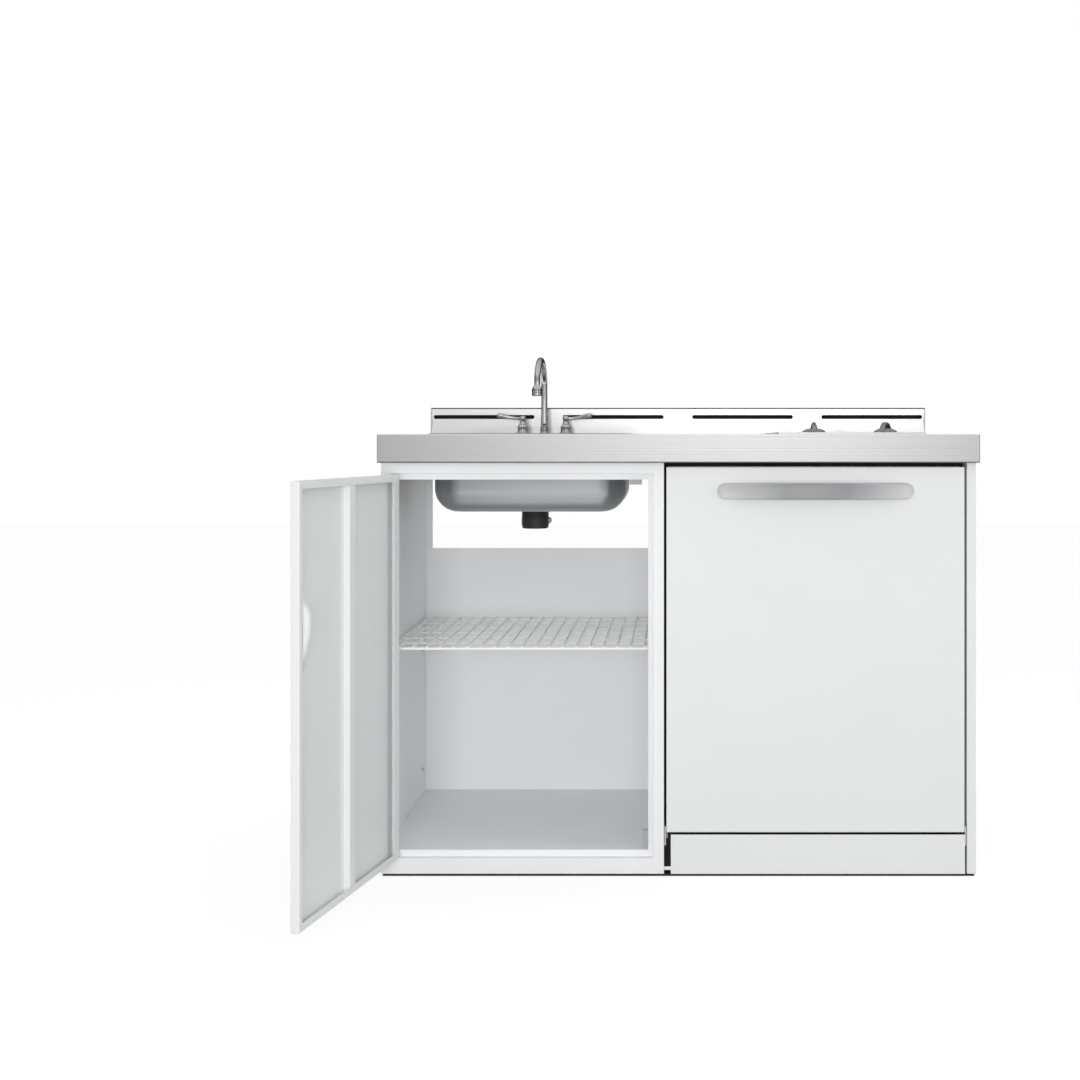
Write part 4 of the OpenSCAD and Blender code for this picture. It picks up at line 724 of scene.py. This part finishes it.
def make_bowl():
    """A drawn bowl with straight walls; the floor falls a little just round the drain."""
    lo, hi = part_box("sink_bowl")
    mid = (lo + hi) / 2
    bm = bmesh.new()
    w, d = BOWL_SIZE
    t, r, f = BOWL_SHEET, BOWL_CORNER, BOWL_FLOOR_ROUND
    rim_w = (hi.x - lo.x - w) / 2
    floor_z = lo.z + t
    rings = []

    def ring(grow, z, radius):
        rings.append(rounded_ring(bm, mid.x, mid.y, w + 2 * grow, d + 2 * grow, radius, z))

    # up the outside, over the rim, down the inside
    for a in range(0, 91, 10):
        turn = math.radians(a)
        inset = (f + t) * (1 - math.sin(turn))
        ring(t - inset, lo.z + (f + t) * (1 - math.cos(turn)), max(r + t - inset, 8 * MM))
    ring(t, hi.z - 2.2 * MM, r + t)
    ring(rim_w - 1 * MM, hi.z - 2.0 * MM, r + rim_w - 1 * MM)
    ring(rim_w, hi.z - 1.6 * MM, r + rim_w)
    ring(rim_w - 0.8 * MM, hi.z - 0.5 * MM, r + rim_w)
    ring(rim_w - 4 * MM, hi.z, r + rim_w - 4 * MM)
    ring(2.5 * MM, hi.z - 0.2 * MM, r + 2.5 * MM)
    ring(0.6 * MM, hi.z - 1.0 * MM, r + 0.6 * MM)
    ring(0, hi.z - 3 * MM, r)
    for a in range(90, -1, -10):
        turn = math.radians(a)
        inset = f * (1 - math.sin(turn))
        ring(-inset, floor_z + f * (1 - math.cos(turn)), max(r - inset, 8 * MM))
    dish = round_ring(bm, rings[-1], mid.x, mid.y, 60 * MM, floor_z)
    lip = round_ring(bm, rings[-1], mid.x, mid.y, 44 * MM, floor_z - 0.1 * MM)
    hole_top = round_ring(bm, rings[-1], mid.x, mid.y, DRAIN_HOLE, floor_z - 0.2 * MM)
    hole_low = round_ring(bm, rings[-1], mid.x, mid.y, DRAIN_HOLE, lo.z)
    under = round_ring(bm, rings[-1], mid.x, mid.y, 60 * MM, lo.z)
    join_rings(bm, rings + [dish, lip, hole_top, hole_low, under], close=True)
    add_piece("sink_bowl_finished", bm, bowl_steel, "root", ("sink_bowl",))


def make_drain():
    lo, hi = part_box("strainer_body")
    mid = (lo + hi) / 2
    centre = (mid.x, mid.y, 0)
    flange, inner, outer = (hi.x - lo.x) / 2, 24.25 * MM, 26.25 * MM
    top, low = hi.z, lo.z
    bm = bmesh.new()
    lathe(bm, [
        (outer, low), (outer, top - 1.5 * MM), (flange - 0.6 * MM, top - 1.5 * MM),
        (flange, top - 1.0 * MM), (flange - 1.5 * MM, top - 0.3 * MM), (flange - 5 * MM, top),
        (inner + 4 * MM, top - 0.1 * MM), (inner + 1 * MM, top - 1.2 * MM),
        (inner, top - 3 * MM), (inner, low + 2 * MM), (16 * MM, low + 2 * MM), (16 * MM, low)],
        centre, 64)
    add_piece("strainer_body_finished", bm, chrome, "root", ("strainer_body",))
    dressed("strainer_basket", chrome, 0.35 * MM)
    dressed("strainer_gasket", rubber, 0.4 * MM)

    lo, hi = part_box("drain_outlet")
    r = 30 * MM
    top, low = hi.z, lo.z
    bm = bmesh.new()
    ribs = []
    for i in range(4):
        z = low + (24 + 4 * i) * MM
        ribs += [(r, z), (r - 0.9 * MM, z + 0.6 * MM), (r - 0.9 * MM, z + 2 * MM),
                 (r, z + 2.6 * MM)]
    lathe(bm, [(19 * MM, low), (r - 4 * MM, low), (r - 1.5 * MM, low + 1.5 * MM),
               (r - 1 * MM, low + 6 * MM), (r, low + 8 * MM)] + ribs
          + [(r, top - 0.8 * MM), (r - 0.8 * MM, top), (26.25 * MM, top),
             (26.25 * MM, low + 9.5 * MM), (19 * MM, low + 9.5 * MM)], centre, 64)
    add_piece("drain_outlet_finished", bm, black_plastic, "root", ("drain_outlet",))
    # hexagonal nut with a domed cap on the drain's side
    bm = bmesh.new()
    flip = Matrix.Rotation(math.radians(90), 3, "Y")
    place = (mid.x + r - 1 * MM, mid.y, low + 18 * MM)
    lathe(bm, above(0, (0, 0), (6.6, 0), (7, 0.5), (7, 4.2), (6.4, 4.8), (0, 4.8)), place, 6, flip)
    lathe(bm, above(0, (0, 4.9), (5, 4.9), (4.6, 6.2), (2.4, 7), (0, 7)), place, 32, flip)
    add_piece("drain_side_nut", bm, grey_plastic, "root", ("drain_outlet",),
              0.3 * MM, 2)


# ---------------------------------------------------------------- faucet

SPOUT_TURN = math.radians(-4)
NECK_R = 55 * MM
TUBE_R = 7 * MM
THREAD_STEP = 1.8 * MM


def make_faucet():
    base_lo, base_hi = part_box("spout_base")
    worktop_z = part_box("worktop")[1].z
    x, y = (base_lo.x + base_hi.x) / 2, (base_lo.y + base_hi.y) / 2
    r = (base_hi.x - base_lo.x) / 2
    shank_z = base_lo.z

    def shank(top):
        """Plain tail, then the thread that goes through the deck."""
        nut_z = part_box("faucet_nuts")[0].z
        out = above(shank_z, (0, 0), (5.7, 0), (6.2, 0.6)) + above(nut_z, (6.2, -0.1))
        z = nut_z
        while z < top:
            out += above(z, (6.3, 0), (6.9, 0.5), (6.9, 0.9), (6.3, 1.4))
            z += THREAD_STEP
        return out

    bm = bmesh.new()
    lathe(bm, shank(worktop_z - 3 * MM) + [
        (6.25 * MM, worktop_z), (r - 0.6 * MM, worktop_z), (r, worktop_z + 0.6 * MM),
        (r, worktop_z + 2.4 * MM), (r - 1.2 * MM, worktop_z + 3.6 * MM),
        (r - 3.2 * MM, worktop_z + 4.2 * MM), (r - 4.0 * MM, worktop_z + 6 * MM),
        (r - 4.2 * MM, worktop_z + 9 * MM), (r - 3.4 * MM, worktop_z + 10.4 * MM),
        (r - 3.6 * MM, worktop_z + 11.6 * MM), (r - 4.6 * MM, worktop_z + 12 * MM),
        (7.3 * MM, worktop_z + 12 * MM), (7.3 * MM, worktop_z + 3 * MM), (0, worktop_z + 3 * MM)],
        (x, y, 0), 48)
    add_piece("spout_base_finished", bm, chrome, "root", ("spout_base",))

    # spout: riser, gooseneck and short drop, swivelled a little to the left
    turn = Matrix.Rotation(SPOUT_TURN, 3, "Z")
    neck_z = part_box("faucet_spout")[1].z - NECK_R - TUBE_R
    drop_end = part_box("aerator")[1].z
    riser_z = worktop_z + 2.5 * MM
    path, radii = [], []
    for z in (riser_z, worktop_z + 11.9 * MM):
        path.append(Vector((0, 0, z)))
        radii.append(6.95 * MM)
    for z, wide in ((12.4, 9.6), (14.5, 10), (16.5, 9.4), (17.4, 7.9), (18.6, 8.6), (20.4, 8.6),
                    (21.4, 7.8), (24, 8.4), (30, 8.1), (45, 7.5), (70, 7.1), (95, 7.0)):
        path.append(Vector((0, 0, worktop_z + z * MM)))
        radii.append(wide * MM)
    steps = 26
    for i in range(steps + 1):
        a = math.pi * i / steps
        path.append(Vector((0, -NECK_R + NECK_R * math.cos(a), neck_z + NECK_R * math.sin(a))))
        radii.append(7.0 * MM)
    path.append(Vector((0, -2 * NECK_R, drop_end + 1 * MM)))
    radii.append(7.0 * MM)
    bm = bmesh.new()
    sweep(bm, [Vector((x, y, 0)) + turn @ p for p in path], radii, 32)
    add_piece("faucet_spout_finished", bm, chrome, "faucet_spout", ("faucet_spout",))

    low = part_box("aerator")[0].z
    tip = Vector((x, y, 0)) + turn @ Vector((0, -2 * NECK_R, 0))
    bm = bmesh.new()
    lathe(bm, above(low, (0, 4), (9, 4), (9.4, 0.3), (10.6, 0), (11.7, 0.4), (12.5, 1.4),
                    (12.5, 5.5), (11.5, 6.3), (11.5, 7), (12.5, 7.8), (12.2, 15), (10.9, 19),
                    (9.1, 22), (7.6, 24), (0, 24)), tip, 48)
    add_piece("aerator_finished", bm, chrome, "faucet_spout", ("aerator",))

    # the two valves with their lever handles
    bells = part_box("valve_bells")
    pitch = (bells[1].x - bells[0].x - 34 * MM) / 2
    bm = bmesh.new()
    bell = above(worktop_z, (6.25, 0), (16.4, 0), (17, 0.7), (17, 3.4), (16, 4.8), (13.6, 5.6),
                 (12.4, 7.5), (12.2, 14), (12.8, 16.5), (12.8, 18.5), (11.6, 20), (10.2, 22.6),
                 (9.4, 24), (5.2, 24), (5.2, 12.5), (0, 12.5))
    for s in (-1, 1):
        lathe(bm, shank(worktop_z - 3 * MM) + bell, (x + s * pitch, y, 0), 40)
    add_piece("valve_bells_finished", bm, chrome, "root", ("valve_bells",))
    for name, s in (("left_faucet_lever", -1), ("right_faucet_lever", 1)):
        make_lever(name, s, x + s * pitch, y, worktop_z + 24 * MM)
    dressed("faucet_nuts", brass, 0.5 * MM)


def make_lever(name, s, x, y, z):
    lo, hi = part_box(name)
    reach = max(abs(lo.x - x), abs(hi.x - x)) - 6 * MM
    bm = bmesh.new()
    lathe(bm, above(0, (0, -11), (4.95, -11), (4.95, 0.4), (8.4, 0.5), (8.7, 1.6), (7.6, 3.4),
                    (6.6, 6), (6.4, 9), (7.2, 12), (7.4, 15), (6.2, 19), (3.4, 21.3), (0, 21.8)),
          (x, y, z), 40)
    rise = hi.z - 6 * MM
    line = above(z, (0, 13), (8, 14.5), (20, 15.5), (36, 18))
    line += [(reach - 6 * MM, rise - 0.6 * MM), (reach, rise)]
    path = smooth_path([(x + s * out, y, height) for out, height in line], 6)
    count = len(path)
    radii = []
    for i in range(count):
        t = i / (count - 1)
        wide = 5.6 * (1 - t) + 6.0 * t - 2.0 * math.sin(math.pi * min(t * 1.25, 1))
        radii.append((wide * MM, wide * 0.92 * MM))
    aim = (path[-1] - path[-2]).normalized()
    for a in (25, 50, 70, 84):
        path.append(path[count - 1] + aim * 5.6 * MM * math.sin(math.radians(a)))
        tip = 6.0 * math.cos(math.radians(a))
        radii.append((tip * MM, tip * 0.92 * MM))
    sweep(bm, path, radii, 24)
    add_piece(name + "_finished", bm, chrome, name, (name,))


# ---------------------------------------------------------------- hob

DIAL_R = 30 * MM


def make_hob():
    dressed("hob_trim_frame", trim_steel, 0.5 * MM, clamp=False)
    dressed("hob_glass", glass, 0.5 * MM, clamp=False)
    dressed("radiant_elements", fibre, 0.3 * MM)
    dressed("hob_under_box", zinc, 0.3 * MM)
    dressed("hob_switches", grey_plastic, 0.4 * MM)
    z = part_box("hob_glass")[1].z
    bm = bmesh.new()
    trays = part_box("radiant_elements")
    back_r, front_r = 90 * MM, 75 * MM
    x = (trays[0].x + trays[1].x) / 2
    back_y = trays[1].y - back_r
    front_y = trays[0].y + front_r
    for y, r in ((back_y, back_r), (front_y, front_r)):
        for radius, band in ((r, 1.2 * MM), (r - 5 * MM, 0.5 * MM)):
            flat_ring(bm, x, y, z, radius - band, radius)
    for knob in ("left_knob", "right_knob"):
        mid = centre_of(knob)
        for i in range(10):
            a = math.radians(90 - 33 * i)
            dot = 0.8 * MM if i else 1.6 * MM
            flat_ring(bm, mid.x + DIAL_R * math.cos(a), mid.y + DIAL_R * math.sin(a), z, 0, dot, 16)
    add_piece("hob_print", bm, print_grey, "root", ())


def flat_ring(bm, x, y, z, inner, outer, segments=96):
    """A printed ring or dot, a hair thick."""
    low, top = 0.01 * MM, 0.06 * MM
    lathe(bm, [(inner, low), (outer, low), (outer, top), (inner, top)], (x, y, z), segments)


RIGHT_KNOB_TURN = math.radians(-35)


def make_knob(name, turn):
    """Satin knob: a dished skirt under a tapered grip that is waisted in the middle."""
    lo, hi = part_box(name)
    mid = (lo + hi) / 2
    centre = Vector((mid.x, mid.y, lo.z))
    bm = bmesh.new()
    r = 24 * MM
    lathe(bm, [(4 * MM, 2 * MM), (r - 5 * MM, 2 * MM), (r - 5 * MM, 0), (r - 0.5 * MM, 0),
               (r, 0.5 * MM), (r - 0.3 * MM, 1.4 * MM), (r - 1.8 * MM, 2.7 * MM),
               (r - 4.6 * MM, 4.6 * MM), (r - 8 * MM, 6.2 * MM), (r - 12 * MM, 7.4 * MM),
               (4 * MM, 8.2 * MM)], centre, 72)
    spin = Matrix.Rotation(turn, 3, "Z")
    rings = []
    # height, half length and half thickness in millimetres
    for z, long, thin in ((4.2, 19.0, 8.2), (6.5, 18.0, 7.4), (9, 17.0, 6.8), (12.5, 15.6, 6.0),
                          (16, 13.4, 5.0), (18.6, 10.8, 3.9), (20.2, 7.4, 2.6),
                          (20.8, 4.2, 1.5), (21.0, 1.6, 0.6)):
        ring = []
        for a in angles(40):
            c, q = math.cos(a), math.sin(a)
            side = squared(c, 0.62) * (1 + 0.22 * q * q) * thin
            ring.append(bm.verts.new(centre + spin @ Vector(
                (side * MM, squared(q, 0.9) * long * MM, z * MM))))
        rings.append(ring)
    join_rings(bm, rings)
    bm.faces.new(rings[0][::-1])
    bm.faces.new(rings[-1])
    add_piece(name + "_finished", bm, knob_satin, name, (name,))
    # line down the grip's front that shows where the knob points
    bm = bmesh.new()
    sweep(bm, [centre + spin @ Vector((0, -q * MM, z * MM))
               for q, z in ((7.4, 20.2), (10.8, 18.6), (13.4, 16.0), (15.6, 12.5))], 0.6 * MM, 10)
    add_piece(name + "_line", bm, black_paint_and_painted_shade, name, ())


# ---------------------------------------------------------------- cabinet door

DOOR_OPEN = math.radians(99.3)


def door_joint():
    return next(Vector(joint["pos_m"]) for joint in frame["joints"]
                if joint["name"] == "cabinet_door_hinge")


def closed_door(bm, back=False):
    """Turns a copy of an open-door piece shut, or open again, about the hinge's axis."""
    pivot = door_joint()
    turn = Matrix.Rotation(-DOOR_OPEN if back else DOOR_OPEN, 3, "Z")
    for v in bm.verts:
        v.co = pivot + turn @ (v.co - pivot)
    bm.normal_update()


def make_cabinet_door():
    bm = node_mesh("door_pan")
    closed_door(bm)
    sides = [(i, corner[i]) for corner in mesh_box(bm) for i in range(3)]
    fillet(bm, lambda a, b: on_any(a, b, *sides) >= 2, 1.8 * MM, 4)
    closed_door(bm, True)
    add_piece("door_pan_finished", bm, enamel, "cabinet_door", ("door_pan",),
              0.3 * MM, 2, False)
    dressed("door_stiffener", enamel, 0.5 * MM, clamp=False)
    make_pull()
    dressed("door_hinge_leaves", zinc, 0.25 * MM)
    dressed("frame_hinge_leaves", zinc, 0.25 * MM)
    dressed("door_catches", grey_plastic, 1.0 * MM, 3)


PULL_LIP = 3 * MM
PULL_SHEET = 1.2 * MM
PULL_DEEPEST = 0.72


def make_pull():
    """Pocket pressed into the door for the fingers, deepest near its top."""
    bm = node_mesh("door_pull")
    closed_door(bm)
    lo, hi = mesh_box(bm)
    bm.clear()
    columns, rows = 16, 36
    depth = hi.y - lo.y - PULL_SHEET
    grid = []
    for j in range(-1, rows + 2):
        v = min(max(j / rows, 0), 1)
        z = lo.z + PULL_LIP + v * (hi.z - lo.z - 2 * PULL_LIP) + (j - v * rows) * PULL_LIP
        rise = v / PULL_DEEPEST if v < PULL_DEEPEST else (1 - v) / (1 - PULL_DEEPEST)
        along = math.sin(math.pi / 2 * rise) ** 0.8
        row = []
        for i in range(-1, columns + 2):
            u = min(max(i / columns, 0), 1)
            x = lo.x + PULL_LIP + u * (hi.x - lo.x - 2 * PULL_LIP) + (i - u * columns) * PULL_LIP
            across = math.sqrt(1 - abs(2 * u - 1) ** 3)
            row.append(bm.verts.new((x, lo.y + depth * along * across, z)))
        grid.append(row)
    for low, high in zip(grid, grid[1:]):
        for a, b, c, d in zip(low, low[1:], high[1:], high):
            bm.faces.new((a, b, c, d))
    back = bmesh.ops.extrude_face_region(bm, geom=bm.faces[:])
    for v in back["geom"]:
        if isinstance(v, bmesh.types.BMVert):
            v.co.y += PULL_SHEET
    closed_door(bm, True)
    add_piece("door_pull_finished", bm, enamel, "cabinet_door", ("door_pull",))


def make_screws():
    dressed("carcass_screws", zinc, 0.3 * MM)
    dressed("shelf_clips", white_plastic, 1.0 * MM, 3)


# ---------------------------------------------------------------- wire goods

def wire_run(bm, a, b, r, sides=10):
    """A straight wire with round ends."""
    a, b = Vector(a), Vector(b)
    aim = (b - a).normalized()
    near = [a + aim * r * (1 - k) for k in (1.0, 0.7, 0.0)]
    far = [b - (p - a) for p in reversed(near)]
    radii = [r * 0.3, r * 0.8, r]
    sweep(bm, near + far, radii + radii[::-1], sides)


SHELF_CROSS_PITCH = 96 * MM
SHELF_WIRE_PITCH = 28 * MM
SHELF_WIRE = 2 * MM
SHELF_BORDER = 3 * MM
SHELF_CORNER = 14 * MM


def steps_between(start, end, step):
    out, at = [], start
    while at <= end + 1e-9:
        out.append(at)
        at += step
    return out


def make_wire_shelf():
    lo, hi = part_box("wire_shelf")
    z = lo.z + SHELF_BORDER
    r, w = SHELF_BORDER, SHELF_WIRE
    bm = bmesh.new()
    corner_r = SHELF_CORNER
    frame_path = []
    for sx, sy, start in ((1, 1, 0), (-1, 1, 90), (-1, -1, 180), (1, -1, 270)):
        cx = (hi.x if sx > 0 else lo.x) - sx * (r + corner_r)
        cy = (hi.y if sy > 0 else lo.y) - sy * (r + corner_r)
        for i in range(7):
            a = math.radians(start + 15 * i)
            frame_path.append(Vector((cx + corner_r * math.cos(a),
                                      cy + corner_r * math.sin(a), z)))
    closed_wire(bm, frame_path, r)
    for y in steps_between(lo.y + SHELF_CROSS_PITCH, hi.y - SHELF_CROSS_PITCH / 2,
                           SHELF_CROSS_PITCH):
        wire_run(bm, (lo.x + r, y, z), (hi.x - r, y, z), w)
    top = hi.z - w
    for x in steps_between(lo.x + SHELF_WIRE_PITCH, hi.x - SHELF_WIRE_PITCH / 2,
                           SHELF_WIRE_PITCH):
        wire_run(bm, (x, lo.y + r * 0.5, top), (x, hi.y - r * 0.5, top), w)
    add_piece("wire_shelf_finished", bm, white_wire, "root", ("wire_shelf",))


def closed_wire(bm, points, r, sides=12):
    """A round wire bent into a closed flat loop."""
    rings = []
    count = len(points)
    for i, p in enumerate(points):
        ahead = (points[(i + 1) % count] - points[i - 1]).normalized()
        side = ahead.cross(Vector((0, 0, 1))).normalized()
        rings.append([bm.verts.new(p + side * r * math.cos(a) + Vector((0, 0, r * math.sin(a))))
                      for a in angles(sides)])
    join_rings(bm, rings, close=True)


RACK_WIRE = 2 * MM
RACK_PITCH = 110 * MM
TINE_PITCH = 27.5 * MM
TINE_LEAN = 8 * MM


def make_rack(node, tines):
    """A coated dish rack: a wire tray with sloping rows of tines inside the CAD basket's box."""
    lo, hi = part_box(node)
    r = RACK_WIRE
    bm = bmesh.new()
    z = lo.z + r
    nx = math.ceil((hi.x - lo.x) / RACK_PITCH)
    ny = math.ceil((hi.y - lo.y) / RACK_PITCH)
    xs = [lo.x + r + i * (hi.x - lo.x - 2 * r) / (nx * 3) for i in range(nx * 3 + 1)]
    ys = [lo.y + r + i * (hi.y - lo.y - 2 * r) / (ny * 3) for i in range(ny * 3 + 1)]
    for y in ys:
        wire_run(bm, (lo.x, y, z), (hi.x, y, z), r * 0.8, 8)
    for x in xs:
        wire_run(bm, (x, lo.y, z + r), (x, hi.y, z + r), r * 0.8, 8)
    for level in (lo.z + (hi.z - lo.z) / 2, hi.z - r):
        loop = [Vector(p) for p in ((hi.x - r, hi.y - r, level), (lo.x + r, hi.y - r, level),
                                    (lo.x + r, lo.y + r, level), (hi.x - r, lo.y + r, level))]
        closed_wire(bm, rounded_loop(loop, 10 * MM), r)
    for x in xs:
        for y in (ys[0], ys[-1]):
            wire_run(bm, (x, y, z), (x, y, hi.z - r), r * 0.8, 8)
    for y in ys[1:-1]:
        for x in (xs[0], xs[-1]):
            wire_run(bm, (x, y, z), (x, y, hi.z - r), r * 0.8, 8)
    if tines:
        for y in ys[1:-1:2]:
            x = xs[0] + TINE_PITCH
            while x < xs[-1] - TINE_PITCH / 2:
                wire_run(bm, (x, y, z), (x, y + TINE_LEAN, z + tines), r * 0.7, 8)
                x += TINE_PITCH
    add_piece(node + "_finished", bm, rack_wire, "root", (node,))


def rounded_loop(corners, radius, steps=5):
    """A closed path through corners, each turned on a small radius."""
    out = []
    count = len(corners)
    for i, p in enumerate(corners):
        to_last = (corners[i - 1] - p).normalized() * radius
        to_next = (corners[(i + 1) % count] - p).normalized() * radius
        a, b = p + to_last, p + to_next
        for k in range(steps + 1):
            t = k / steps
            out.append((1 - t) ** 2 * a + 2 * t * (1 - t) * p + t * t * b)
    return out


# ---------------------------------------------------------------- dishwasher

def make_dishwasher():
    bm = node_mesh("dishwasher_door_panel")
    fillet(bm, on_plane(1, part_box("dishwasher_door_panel")[0].y), 1.9 * MM, 5)
    add_piece("dishwasher_door_panel_finished", bm, enamel, "dishwasher_door",
              ("dishwasher_door_panel",), 0.3 * MM, 2, False)
    dressed("dishwasher_door_liner", tub_steel, 0.8 * MM, 3, clamp=False)
    dressed("control_strip", white_plastic, 0.4 * MM)
    for node in ("power_button", "start_button"):
        dressed(node, pale_plastic, 0.8 * MM, 3)
    dressed("detergent_dispenser", pale_plastic, 0.7 * MM, 3)
    dressed("dispenser_lid", grey_plastic, 0.7 * MM, 3)
    dressed("toe_kick", enamel, 0.4 * MM, clamp=False)
    dressed("dishwasher_base", black_plastic, 0.8 * MM)
    dressed("dishwasher_tub", tub_steel, 0.5 * MM)
    dressed("tub_gasket", rubber, 0.6 * MM)
    dressed("hinge_brackets", zinc, 0.4 * MM)
    dressed("rack_rails", grey_plastic, 1.5 * MM, 3)
    dressed("sump", black_plastic, 0.5 * MM)
    dressed("sump_filter", tub_steel, 0.4 * MM)
    dressed("wash_pumps", grey_plastic, 1.5 * MM, 3)
    dressed("spray_feed_tube", grey_plastic, 0.5 * MM)
    for node in ("upper_spray_arm", "lower_spray_arm"):
        dressed(node, pale_plastic, 1.2 * MM, 3)
    make_rack("upper_rack", 60 * MM)
    make_rack("lower_rack", 90 * MM)


HANDLE_STRAP = 9 * MM
HANDLE_REACH = 40 * MM
HANDLE_FOOT = 46 * MM
HANDLE_END = 10 * MM


def make_bow_handle():
    """A bowed strap with round ends, thicker where it meets the door."""
    lo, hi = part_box("bow_handle")
    door_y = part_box("dishwasher_door_panel")[0].y
    mid = (lo + hi) / 2
    half, tall = (hi.x - lo.x) / 2, (hi.z - lo.z) / 2
    bow = HANDLE_REACH - HANDLE_STRAP
    radius = (half ** 2 + bow ** 2) / (2 * bow)
    sections = 72
    bm = bmesh.new()
    rings = []
    for i in range(sections + 1):
        u = math.sin(math.pi / 2 * (2 * i / sections - 1))
        x = u * half * 0.9995
        from_end = half - abs(x)
        h = tall if from_end > tall else math.sqrt(max(tall ** 2 - (tall - from_end) ** 2, 1e-9))
        out = math.sqrt(radius ** 2 - x ** 2) - (radius - bow)
        outer = door_y - HANDLE_STRAP - out
        inner = outer + HANDLE_STRAP
        foot = max(0.0, 1 - from_end / HANDLE_FOOT)
        inner = inner + (door_y - inner) * min(1.0, 1.6 * foot)
        soften = min(1.0, from_end / HANDLE_END) ** 0.5
        outer = outer + (1 - soften) * (inner - outer) * 0.45
        y = (outer + inner) / 2
        t = (inner - outer) / 2
        rings.append([bm.verts.new((mid.x + x, y + t * squared(math.sin(a), 0.75),
                                    mid.z + h * squared(math.cos(a), 0.6)))
                      for a in angles(28)])
    join_rings(bm, rings)
    bm.faces.new(rings[0][::-1])
    bm.faces.new(rings[-1])
    add_piece("bow_handle_finished", bm, handle_satin, "dishwasher_door", ("bow_handle",))


# ---------------------------------------------------------------- assembly

make_front_frame()
make_carcass()
make_worktop()
make_backsplash()
make_bowl()
make_drain()
make_faucet()
make_hob()
make_knob("left_knob", 0)
make_knob("right_knob", RIGHT_KNOB_TURN)
make_cabinet_door()
make_screws()
make_wire_shelf()
make_dishwasher()
make_bow_handle()
